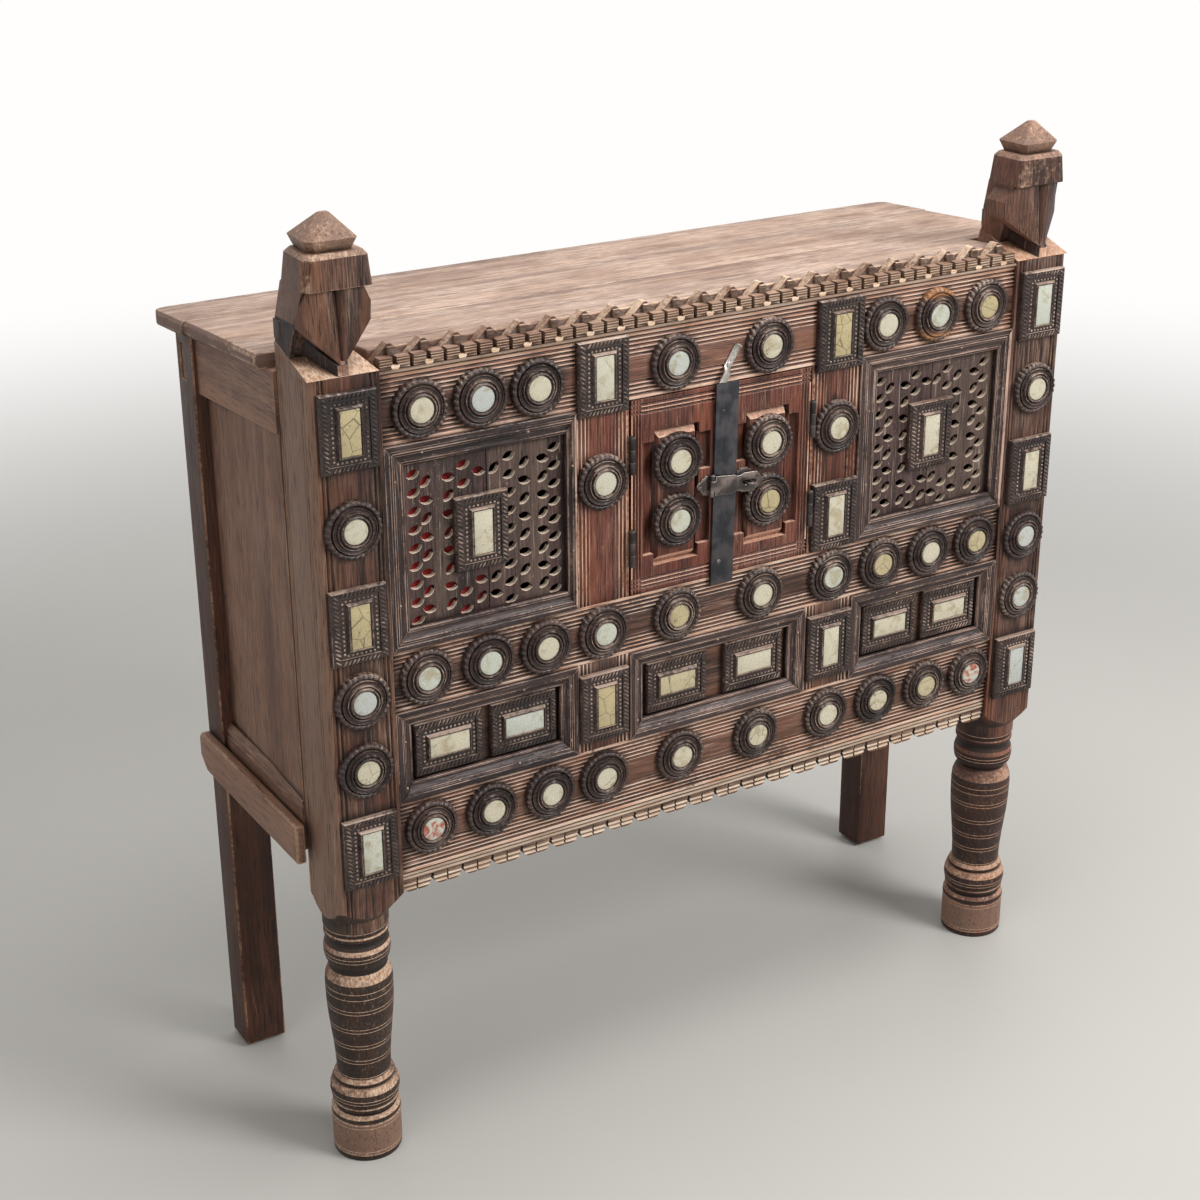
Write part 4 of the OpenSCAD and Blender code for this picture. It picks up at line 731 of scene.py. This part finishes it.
def markDoor(shape):
    # bevels of the raised field and the channel walls turned up, or down towards the front, get a painted
    # highlight where they catch the light, walls turned straight down get painted shade, and the channel
    # floor a slightly lighter tone
    layers = layersOf(shape)
    wear = layers["wear"]
    low, high = spanOf(shape.faces)
    for face in shape.faces:
        middle, n = face.calc_center_median(), face.normal
        depth = (middle.y - low.y) * 1000
        inside = (low.x + doorLook["side"] < middle.x < high.x - doorLook["side"]
                  and low.z + doorLook["end"] < middle.z < high.z - doorLook["end"])
        onWall = inside and doorLook["walls"][0] < depth < doorLook["walls"][1]
        if inside and n.y < -0.95 and doorLook["floor"][0] < depth < doorLook["floor"][1]:
            face[layers["paint"]] = 0.1
        elif onWall and n.z > 0.3:
            face[wear] = 2.2
        elif onWall and n.z < -0.3 and n.y < -0.3:
            face[wear] = 1.5
        elif onWall and n.z < -0.9:
            face[wear] = -0.8


def addNails(shape, pitch=0.105, size=0.0017):
    # small bright nail heads along the middle of each moulding
    layers = layersOf(shape)
    for group in islandsOf(shape):
        low, high = spanOf(group)
        span = high - low
        axis = 0 if span.x > span.z else 2
        count = max(2, round(span[axis] / pitch))
        for i in range(count):
            place = (low + high) / 2
            place[axis] = low[axis] + span[axis] * (i + 0.5 + chance.uniform(-0.2, 0.2)) / count
            place.y = low.y + 0.0012
            head = Matrix.Translation(place)
            made = bmesh.ops.create_icosphere(shape, subdivisions=1, radius=size, matrix=head)
            for face in linked(made["verts"], "link_faces"):
                face[layers["wear"]] = 1.6


crestLook = dict(teeth=22, radius=0.0056, lift=0.0092, inset=0.0026, thick=0.006, slot=0.0025, spare=0.0008,
                 narrow=0.0010, wide=0.0050, tall=0.019, deep=0.0095)


def markCrest(shape):
    layers = layersOf(shape)
    low, high = spanOf(shape.faces)
    # gable slopes turned left get a painted highlight and those turned right painted shade; the faces behind
    # the blocks and the slot walls between them are painted dark as painted shade
    for face in shape.faces:
        middle, n = face.calc_center_median(), face.normal
        depth = (middle.y - low.y) * 1000
        if n.z > 0.3 and depth > 9:
            face[layers["wear"]] = 0.5 if n.x < 0.3 else -0.2
        elif n.y < -0.9 and depth < 2:
            face[layers["paint"]] = -0.5
        elif n.y < -0.9 and depth > 8:
            face[layers["wear"]] = -0.8
        elif abs(n.x) > 0.8 and depth < 9:
            face[layers["wear"]] = -0.5
    look = crestLook
    pitch = (high.x - low.x + 0.0003) / look["teeth"]
    # the slot of every tooth is cut as a wedge, narrow above and wide below, with a pale scoop at its foot
    for v in shape.verts:
        i = math.floor((v.co.x - low.x) / pitch)
        off = v.co.x - (low.x + (i + 0.5) * pitch)
        up = v.co.z - low.z
        inSlot = abs(off) < look["slot"] + look["spare"] and up < look["tall"] + 0.0005
        if inSlot and v.co.y < low.y + look["deep"]:
            half = look["narrow"] + (look["wide"] - look["narrow"]) * max(0.0, 1 - up / look["tall"])
            v.co.x += math.copysign(half - look["slot"], off)
    for i in range(look["teeth"]):
        place = Vector((low.x + (i + 0.5) * pitch, low.y + look["inset"], low.z + look["lift"]))
        turn = Matrix.Translation(place) @ Matrix.Rotation(math.radians(90), 4, "X")
        made = bmesh.ops.create_cone(shape, segments=18, radius1=look["radius"], radius2=look["radius"],
                                     depth=look["thick"], cap_ends=True, cap_tris=False, matrix=turn)
        geom = linked(made["verts"], "link_faces") + linked(made["verts"], "link_edges") + made["verts"]
        cut = bmesh.ops.bisect_plane(shape, geom=geom, plane_co=place, plane_no=(0, 0, 1), clear_outer=True)
        rim = [e for e in cut["geom_cut"] if isinstance(e, bmesh.types.BMEdge)]
        made = bmesh.ops.contextual_create(shape, geom=rim)
        for face in made["faces"]:
            for near in linked(face.verts, "link_faces"):
                near[layers["wear"]] = 2.0


# boards, rails and metal pieces: node, finish and edge width in mm

plainPieces = [
    ("left_rear_post", "rearTimber", 2.2), ("right_rear_post", "rearTimber", 2.2),
    ("top_front_board", "topTimber", 2.0), ("top_middle_board", "topTimber", 1.4),
    ("top_rear_board", "topTimber", 2.0), ("top_bearers", "innerTimber", 1.0),
    ("side_panels", "sideTimber", 0.8), ("side_top_rails", "sideTimber", 1.6),
    ("side_bottom_rails", "sideTimber", 1.2), ("side_battens", "sideTimber", 3.0),
    ("back_boards", "innerTimber", 0.8), ("back_rails", "innerTimber", 1.5),
    ("floor_boards", "innerTimber", 0.8), ("floor_bearers", "innerTimber", 1.0),
    ("door_left_ledges", "innerTimber", 1.2), ("door_right_ledges", "innerTimber", 1.2)]
reededPieces = [
    ("top_rail", "railTimber", 0.35), ("mid_rail", "railTimber", 0.35), ("bottom_rail", "railTimber", 0.35),
    ("left_upper_stile", "doorTimber", 0.35), ("right_upper_stile", "doorTimber", 0.35),
    ("left_lower_stile", "railTimber", 0.35), ("right_lower_stile", "railTimber", 0.35),
    ("crest_bead", "crestTimber", 0.3), ("bottom_crest", "hangTimber", 0.8),
    ("top_crest", "crestTimber", 0.6), ("left_lattice_frame", "frameTimber", 0.4),
    ("right_lattice_frame", "frameTimber", 0.4), ("panel_frames", "frameTimber", 0.4),
    ("left_panel", "panelTimber", 0.4), ("centre_panel", "panelTimber", 0.4),
    ("right_panel", "panelTimber", 0.4),
    ("door_left_leaf", "doorTimber", 0.5), ("door_right_leaf", "doorTimber", 0.5),
    ("left_front_post", "postTimber", 0.7), ("right_front_post", "redPostTimber", 0.7)]
metalPieces = [
    ("fixed_hinges", "hingeIron", 0.25), ("hinge_pins", "hingeIron", 0.3),
    ("catch_rivet", "catchNickel", 0.3), ("turn_catch", "catchNickel", 0.35),
    ("door_left_hinges", "hingeIron", 0.25), ("door_right_hinges", "hingeIron", 0.25),
    ("joint_bar", "blackIron", 0.7), ("bar_nails", "haspSteel", 0.4), ("hasp_plate", "haspSteel", 0.3),
    ("hasp_pin", "haspSteel", 0.3), ("hasp_strap", "haspSteel", 0.4), ("staple", "haspSteel", 0.25)]
railTones = dict(top_rail=0.29, mid_rail=-0.10, bottom_rail=-0.32, left_upper_stile=-0.2,
                 right_upper_stile=-0.2)
postGrain = dict(legTop=0.345, legRun=(0, 0, 0.6), shoulder=(1.06, 1.1), shoulderRun=(0, 1, 0))
boards = []


def turnPostGrain(shape):
    run = shape.faces.layers.float_vector["run"]
    for face in shape.faces:
        z = face.calc_center_median().z
        if z < postGrain["legTop"]:
            face[run] = postGrain["legRun"]
        elif postGrain["shoulder"][0] < z < postGrain["shoulder"][1] and face.normal.z > 0.5:
            face[run] = postGrain["shoulderRun"]


def makePlain():
    for node, material, width in plainPieces:
        shape = mergedCopy(node)
        easeEdges(shape, width / 1000)
        if node.startswith("top_"):
            markFacing(shape, lambda n, spot: abs(n.x) > 0.3 or n.z < 0.4, -0.7, "paint")
        elif node in ("side_battens", "side_top_rails"):
            markFacing(shape, lambda n, spot: True, 0.29, "paint")
        markGrain(shape)
        cutCells(shape, cutAxes["rear_post"] if "rear_post" in node else cutAxes.get(node, ()))
        boards.append(finish(shape, "worn_" + node, material, node))
    for node, material, width in reededPieces:
        shape = mergedCopy(node)
        if "front_post" in node:
            scribeLeg(shape)
        easeEdges(shape, width / 1000, segments=1 if width < 0.5 else 2)
        if "crest" in node:
            markReeds(shape, -0.15, 1.0 if node == "top_crest" else 1.5, shortest=0.004)
        else:
            markReeds(shape, 0.6 if "upper_stile" in node else 1.2, 0.25 if "frame" in node else 0.05)
        if "front_post" in node:
            markPost(shape)
        elif "leaf" in node:
            markDoor(shape)
        elif "frame" in node:
            addNails(shape)
        elif node == "top_crest":
            markCrest(shape)
        elif node == "bottom_crest":
            # painted shade: the sides between the hanging blocks and the faces turned down are darkened
            markFacing(shape, lambda n, spot: abs(n.x) > 0.5 or n.z < -0.6, -1.0)
        elif node == "crest_bead":
            markFacing(shape, lambda n, spot: n.z > -0.2, 0.9)
        elif node in railTones:
            markFacing(shape, lambda n, spot: True, railTones[node], "paint")
        markGrain(shape, along=2 if "front_post" in node else None)
        if "front_post" in node:
            turnPostGrain(shape)
        cutCells(shape, next((axes for key, axes in cutAxes.items() if key in node), ()))
        boards.append(finish(shape, "worn_" + node, material, node))
    for node, material, width in metalPieces:
        shape = mergedCopy(node)
        easeEdges(shape, width / 1000)
        markGrain(shape)
        finish(shape, "worn_" + node, material, node, smooth=40)
    print("worn pieces made:", len(plainPieces) + len(reededPieces) + len(metalPieces))


# lattices

latticePlan = dict(edge=0.0005, border=0.003, upFacing=0.2)


def makeLattice(node):
    shape = mergedCopy(node)
    layers = layersOf(shape)
    low, high = spanOf(shape.faces)
    easeEdges(shape, latticePlan["edge"], sharp=40, segments=1)
    # hole walls turned up take the pale cut-wood colour as a painted highlight and the other hole walls
    # painted shade; edge bevels turned up are paler than the rest as a painted highlight
    for face in shape.faces:
        middle = face.calc_center_median()
        border = latticePlan["border"]
        inside = (low.x + border < middle.x < high.x - border and low.z + border < middle.z < high.z - border)
        if abs(face.normal.y) < 0.3 and inside:
            face[layers["wear"]] = 1.6 if face.normal.z > latticePlan["upFacing"] else -0.5
        elif face[layers["wear"]] > 0:
            face[layers["wear"]] = 0.9 if face.normal.z > 0.1 else 0.25
    markGrain(shape, along=2)
    boards.append(finish(shape, "pierced_" + node, "latticeTimber", node))


# round bosses, with profiles as (radius, height) in mm

roundBoss = dict(steps=56, rimSteps=128, notches=28, notchDepth=0.0026, scallop=0.0014, twist=12.0,
                 rim=0.0305, notched=0.0312, scalloped=0.0356,
                 paleRings=((17.7, 19.0), (21.8, 22.8), (27.8, 28.6)),
                 dirtAndShadeRings=((20.0, 21.2), (29.0, 30.4)))
bossProfile = [(0, 9.0), (16.6, 9.0), (16.6, 11.0), (17.2, 12.2), (17.8, 12.8), (18.8, 12.8), (19.5, 12.0),
               (20.1, 9.2), (20.9, 8.8), (21.4, 10.4), (21.9, 10.9), (22.7, 10.9), (23.2, 10.0), (24.0, 7.2),
               (25.6, 6.8), (27.0, 7.3), (27.4, 8.4), (27.9, 8.9), (28.5, 8.9), (28.9, 8.2), (29.3, 5.4),
               (30.2, 5.0), (30.2, 0), (0, 0)]
rimProfile = [(29.7, 0), (29.7, 5.4), (30.6, 7.6), (31.8, 8.7), (33.6, 8.8), (35.2, 8.0), (36.4, 6.2),
              (36.9, 3.4), (36.9, 0)]
mirrorProfile = [(0, 2.0), (10.0, 1.95), (15.2, 1.8), (16.1, 1.4), (16.3, 0), (0, 0)]


def lathe(shape, profile, steps, closed=False):
    spots = [shape.verts.new((r / 1000, 0, h / 1000)) for r, h in profile]
    wires = [shape.edges.new(pair) for pair in zip(spots, spots[1:])]
    if closed:
        wires.append(shape.edges.new((spots[-1], spots[0])))
    bmesh.ops.spin(shape, geom=spots + wires, cent=(0, 0, 0), axis=(0, 0, 1), dvec=(0, 0, 0),
                   angle=math.tau, steps=steps, use_merge=True, use_duplicate=False)


def makeBossMaster():
    shape = emptyShape()
    wear = shape.faces.layers.float["wear"]
    lathe(shape, bossProfile, roundBoss["steps"])
    bmesh.ops.remove_doubles(shape, verts=shape.verts, dist=1e-6)
    inner = set(shape.verts)
    lathe(shape, rimProfile, roundBoss["rimSteps"], closed=True)
    rim = [v for v in shape.verts if v not in inner]
    bmesh.ops.remove_doubles(shape, verts=rim, dist=1e-6)
    bmesh.ops.recalc_face_normals(shape, faces=shape.faces)

    def lobeAt(spot):
        radius = math.hypot(spot.x, spot.y)
        turn = math.atan2(spot.y, spot.x) + (radius - roundBoss["rim"]) * roundBoss["twist"]
        return radius, (0.5 + 0.5 * math.cos(turn * roundBoss["notches"])) ** 0.6

    for v in shape.verts:
        radius, lobe = lobeAt(v.co)
        if radius > roundBoss["notched"] and v.co.z > 0.001:
            v.co.z -= roundBoss["notchDepth"] * (1 - lobe) * min(1, (radius - roundBoss["rim"]) / 0.004)
            if radius > roundBoss["scalloped"]:
                v.co.xy *= 1 - (1 - lobe) * roundBoss["scallop"] / radius
    shape.normal_update()
    # rim lobes get a painted highlight on top and painted shade between them; the pale rings on the ridges
    # are rubbed wear with a painted highlight, and the dark rings in the grooves dirt with painted shade
    for face in shape.faces:
        middle = face.calc_center_median()
        radius, lobe = lobeAt(middle)
        mm = radius * 1000
        if mm > 30.4:
            face[wear] = 0.45 if lobe > 0.75 and middle.z > 0.006 else (-0.45 if lobe < 0.4 else 0.0)
        elif any(a < mm < b for a, b in roundBoss["paleRings"]) and middle.z > 0.009:
            face[wear] = 0.9
        elif any(a < mm < b for a, b in roundBoss["dirtAndShadeRings"]):
            face[wear] = -0.5
        elif mm > 17:
            face[wear] = 0.1
    mesh = meshFrom(shape, "bossMaster")
    measureMaster(mesh)
    return mesh


def standUp(place, turn=0.0, tilt=(0.0, 0.0), scale=1.0):
    # local z points out of the front, local y up
    return (Matrix.Translation(place) @ Matrix.Rotation(math.radians(90), 4, "X")
            @ Matrix.Rotation(tilt[0], 4, "X") @ Matrix.Rotation(tilt[1], 4, "Y")
            @ Matrix.Rotation(turn, 4, "Z") @ Matrix.Scale(scale, 4))


def stamp(whole, master, place, board, paint=0.0):
    start = len(whole.verts)
    startFace = len(whole.faces)
    whole.from_mesh(master)
    whole.verts.ensure_lookup_table()
    whole.faces.ensure_lookup_table()
    bmesh.ops.transform(whole, matrix=place, verts=whole.verts[start:])
    layers = layersOf(whole)
    run = whole.faces.layers.float_vector["run"]
    for face in whole.faces[startFace:]:
        face[layers["board"]] = board
        face[layers["paint"]] = paint
        face[run] = (1, 0, 0)


def emptyShape():
    shape = bmesh.new()
    layersOf(shape)
    shape.verts.layers.float.new("cavity")
    shape.faces.layers.float_vector.new("run")
    return shape


giltBosses = [(0.352, 1.02, 0.62), (0.180, 0.892, 0.3), (-0.052, 1.02, 0.25)]


def makeBosses(master, node, name):
    whole = emptyShape()
    for low, high in solidSpans(node):
        place = Vector(((low.x + high.x) / 2, high.y, (low.z + high.z) / 2))
        gilt = [g for x, z, g in giltBosses if math.hypot(place.x - x, place.z - z) < 0.03]
        stamp(whole, master, standUp(place, chance.uniform(0, math.tau), scale=chance.uniform(0.985, 0.999)),
              chance.random(), gilt[0] if gilt else 0.0)
    # faces turned up get a painted highlight
    markFacing(whole, lambda n, spot: n.z > 0.75, 1.0)
    finish(whole, name, "bossTimber", node, smooth=50)


mirrorPlan = dict(steps=40, edge=0.0152, bevel=0.0005, round=0.985, tilt=0.02, width=0.985, depth=0.9,
                  height=0.99, back=0.04)


def makeRoundMirrorMaster():
    shape = emptyShape()
    wear = shape.faces.layers.float["wear"]
    lathe(shape, mirrorProfile, mirrorPlan["steps"])
    bmesh.ops.remove_doubles(shape, verts=shape.verts, dist=1e-6)
    bmesh.ops.recalc_face_normals(shape, faces=shape.faces)
    for face in shape.faces:
        middle = face.calc_center_median()
        face[wear] = 1.0 if math.hypot(middle.x, middle.y) > mirrorPlan["edge"] else 0.0
    return meshFrom(shape, "roundMirrorMaster")


redStained = [(-0.52, 0.546), (-0.434, 0.475), (0.428, 0.475)]


def makeMirrors(node, name, master=None):
    whole = emptyShape()
    for low, high in solidSpans(node):
        middle = (low + high) / 2
        place = Vector((middle.x, high.y, middle.z))
        paint = 1.0 if any(math.hypot(middle.x - x, middle.z - z) < 0.02 for x, z in redStained) else 0.0
        if master:
            most = mirrorPlan["tilt"]
            tilt = (chance.uniform(-most, most), chance.uniform(-most, most))
            at = standUp(place, tilt=tilt, scale=mirrorPlan["round"])
            stamp(whole, master, at, chance.random(), paint)
        else:
            start = len(whole.faces)
            made = bmesh.ops.create_cube(whole, size=1.0)
            size = high - low
            shrunk = [size[k] * mirrorPlan[side] for k, side in enumerate(("width", "depth", "height"))]
            bmesh.ops.scale(whole, vec=shrunk, verts=made["verts"])
            centre = middle + Vector((0, size.y * mirrorPlan["back"], 0))
            bmesh.ops.translate(whole, vec=centre, verts=made["verts"])
            edges = linked(made["verts"], "link_edges")
            bmesh.ops.bevel(whole, geom=edges, offset=mirrorPlan["bevel"], offset_type="OFFSET", segments=2,
                            profile=0.5, affect="EDGES", material=-1)
            whole.faces.ensure_lookup_table()
            layers = layersOf(whole)
            number = chance.random()
            for face in whole.faces[start:]:
                face[layers["board"]] = number
                face[layers["paint"]] = paint
    finish(whole, name, "agedMirror", node, smooth=30)


# rectangular bosses

# steps from the rim to the mirror as (width, height, depth, wear and painted light), with sizes in mm; the
# last column pales worn and lit steps and darkens grooves as painted shade
# each rope and each row of beads as (upright or level, length, distance from the middle), in metres

rectBoss = dict(width=0.073, height=0.095, base=0.006,
                steps=[(71.5, 93.5, 7.0, 0.5), (70.0, 92.0, 8.4, 0.0), (52.0, 77.0, 8.6, -0.4),
                       (51.0, 76.0, 7.2, -1.0), (35.8, 63.4, 7.2, -0.5), (31.0, 59.8, 11.0, 0.1),
                       (29.6, 58.6, 11.8, 1.2), (27.0, 57.0, 11.8, 0.4), (26.3, 56.3, 11.2, -0.2),
                       (26.2, 56.2, 9.0, -0.8)],
                ropes=[("v", 0.088, 0.0305), ("h", 0.048, 0.0428)], ropePitch=0.0052, ropeHeight=0.0084,
                ropeShape=dict(v=(0.0052, -35), h=(0.0044, 55)), strand=(0.0015, 0.0019),
                beads=[("v", 0.0700, 0.0217), ("h", 0.0400, 0.0347)], beadPitch=0.0054, beadHeight=0.0074,
                beadSize=0.0018)


def spotsAlong(side, length, across, pitch, height):
    count = int(length / pitch)
    for sign in (-1, 1):
        for i in range(count):
            at = (i + 0.5 - count / 2) * length / count
            yield Vector((sign * across, at, height) if side == "v" else (at, sign * across, height))


def stepInto(shape, face, width, tall, z):
    grown = bmesh.ops.inset_region(shape, faces=[face], thickness=0.001, depth=0, use_even_offset=True)
    for v in face.verts:
        v.co = (math.copysign(width / 2, v.co.x), math.copysign(tall / 2, v.co.y), z)
    return grown["faces"]


def makeRectMaster():
    shape = emptyShape()
    wear = shape.faces.layers.float["wear"]
    made = bmesh.ops.create_cube(shape, size=1.0)
    bmesh.ops.scale(shape, vec=(rectBoss["width"], rectBoss["height"], rectBoss["base"]), verts=made["verts"])
    bmesh.ops.translate(shape, vec=(0, 0, rectBoss["base"] / 2), verts=made["verts"])
    top = max(shape.faces, key=lambda f: f.calc_center_median().z)
    for width, tall, depth, worn in rectBoss["steps"]:
        for face in stepInto(shape, top, width / 1000, tall / 1000, depth / 1000):
            face[wear] = worn
    for side, length, across in rectBoss["ropes"]:
        reach, lean = rectBoss["ropeShape"][side]
        strand = (Matrix.Rotation(math.radians(lean), 4, "Z")
                  @ Matrix.Diagonal((reach, *rectBoss["strand"], 1)))
        for spot in spotsAlong(side, length, across, rectBoss["ropePitch"], rectBoss["ropeHeight"]):
            place = Matrix.Translation(spot) @ strand
            made = bmesh.ops.create_uvsphere(shape, u_segments=6, v_segments=5, radius=1.0, matrix=place)
            # rope strands get a painted highlight on top and painted shade below
            for face in linked(made["verts"], "link_faces"):
                face[wear] = 0.7 if face.calc_center_median().z > rectBoss["ropeHeight"] + 0.0009 else -0.3
    for side, length, across in rectBoss["beads"]:
        for spot in spotsAlong(side, length, across, rectBoss["beadPitch"], rectBoss["beadHeight"]):
            made = bmesh.ops.create_icosphere(shape, subdivisions=1, radius=rectBoss["beadSize"],
                                              matrix=Matrix.Translation(spot))
            for face in linked(made["verts"], "link_faces"):
                face[wear] = 1.5
    mesh = meshFrom(shape, "rectMaster")
    measureMaster(mesh)
    return mesh


def makeRectBosses(master, node):
    whole = emptyShape()
    for low, high in solidSpans(node):
        size = high - low
        place = Vector(((low.x + high.x) / 2, high.y, (low.z + high.z) / 2))
        turn = 0 if size.z > size.x else math.radians(90)
        stamp(whole, master, standUp(place, turn, scale=0.999), chance.random())
    # faces turned up get a painted highlight
    markFacing(whole, lambda n, spot: n.z > 0.8, 1.5)
    finish(whole, "framed_mirror_bosses", "bossTimber", node, smooth=40)


# cloth behind the left board of the left lattice

clothLook = dict(deep=(0.12, 0.005, 0.006, 1), bright=(0.34, 0.014, 0.014, 1), thread=150.0, cells=36,
                 ripple=0.00018, ripples=18, lift=0.0005, thickness=0.0006)


def makeCloth():
    low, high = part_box("lattice_cloth")
    size = high - low
    shape = bmesh.new()
    bmesh.ops.create_grid(shape, x_segments=clothLook["cells"], y_segments=clothLook["cells"], size=0.5)
    for v in shape.verts:
        x, z = low.x + (v.co.x + 0.5) * size.x, low.z + (v.co.y + 0.5) * size.z
        ripple = noise.noise(Vector((x, 0, z)) * clothLook["ripples"]) * clothLook["ripple"]
        v.co = Vector((x, low.y + clothLook["lift"] + ripple, z))
    mesh = meshFrom(shape, "red_cloth")
    mesh.shade_smooth()
    made, tree, shader = newMaterial("redCotton")
    spot = objectSpot(tree)
    patch = noiseOf(tree, spot, 22.0, 5.0)
    threads = {"Vector": spot, "Scale": clothLook["thread"], "Distortion": 0.6}
    weft, warp = (put(tree, "ShaderNodeTexWave", threads, bands_direction=axis).outputs[1] for axis in "XZ")
    weave = math2(tree, "MAXIMUM", weft, warp)
    colour = blend(tree, ramp(tree, patch, 0.35, 0.62), clothLook["deep"], clothLook["bright"])
    colour = blend(tree, ramp(tree, weave, 0.0, 1.0, 0.35, 0.0), colour, clothLook["deep"])
    tree.links.new(colour, shader.inputs["Base Color"])
    roughen(tree, shader, ramp(tree, patch, 0.3, 0.7, 0.8, 0.95), weave, 0.5, 0.0004)
    mesh.materials.append(made)
    piece = addObject("red_cloth", mesh)
    thick = piece.modifiers.new("thickness", "SOLIDIFY")
    thick.thickness, thick.offset = clothLook["thickness"], 0
    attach(piece, "carcass")
    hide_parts("lattice_cloth")


glideLook = dict(pale=(0.72, 0.71, 0.67, 1), scuffed=(0.42, 0.40, 0.36, 1), edge=0.0008)


def makeGlides():
    made, tree, shader = newMaterial("paleGlide")
    scuff = noiseOf(tree, objectSpot(tree), 180.0, 4.0)
    colour = blend(tree, ramp(tree, scuff, 0.4, 0.7), glideLook["pale"], glideLook["scuffed"])
    tree.links.new(colour, shader.inputs["Base Color"])
    roughen(tree, shader, ramp(tree, scuff, 0.3, 0.7, 0.4, 0.6), scuff, 0.2, 0.0004)
    finishes["paleGlide"] = made
    shape = mergedCopy("rear_glides")
    easeEdges(shape, glideLook["edge"])
    finish(shape, "moulded_glides", "paleGlide", "rear_glides")


makePlain()
makeLattice("left_lattice")
makeLattice("right_lattice")
print("lattices made")
bossMaster = makeBossMaster()
makeBosses(bossMaster, "round_bosses", "turned_bosses")
makeBosses(bossMaster, "door_left_bosses", "turned_bosses_left_door")
makeBosses(bossMaster, "door_right_bosses", "turned_bosses_right_door")
mirrorMaster = makeRoundMirrorMaster()
makeMirrors("round_mirrors", "round_mirror_glass", mirrorMaster)
makeMirrors("door_left_mirrors", "round_mirror_glass_left_door", mirrorMaster)
makeMirrors("door_right_mirrors", "round_mirror_glass_right_door", mirrorMaster)
makeMirrors("rect_mirrors", "framed_mirror_glass")
makeRectBosses(makeRectMaster(), "rect_bosses")
print("bosses and mirrors made")
makeCloth()
makeGlides()
print("cloth and glides made")

unmeasured = ("top_front", "top_middle", "top_rear", "back", "floor")
measured = [piece for piece in boards if not any(word in piece.name for word in unmeasured)]
measureBoards(measured, ["round_bosses", "rect_bosses", "door_left_bosses", "door_right_bosses"])
for spare in ("bossMaster", "roundMirrorMaster", "rectMaster"):
    bpy.data.meshes.remove(bpy.data.meshes[spare])
bpy.context.scene.view_settings.view_transform = "Standard"
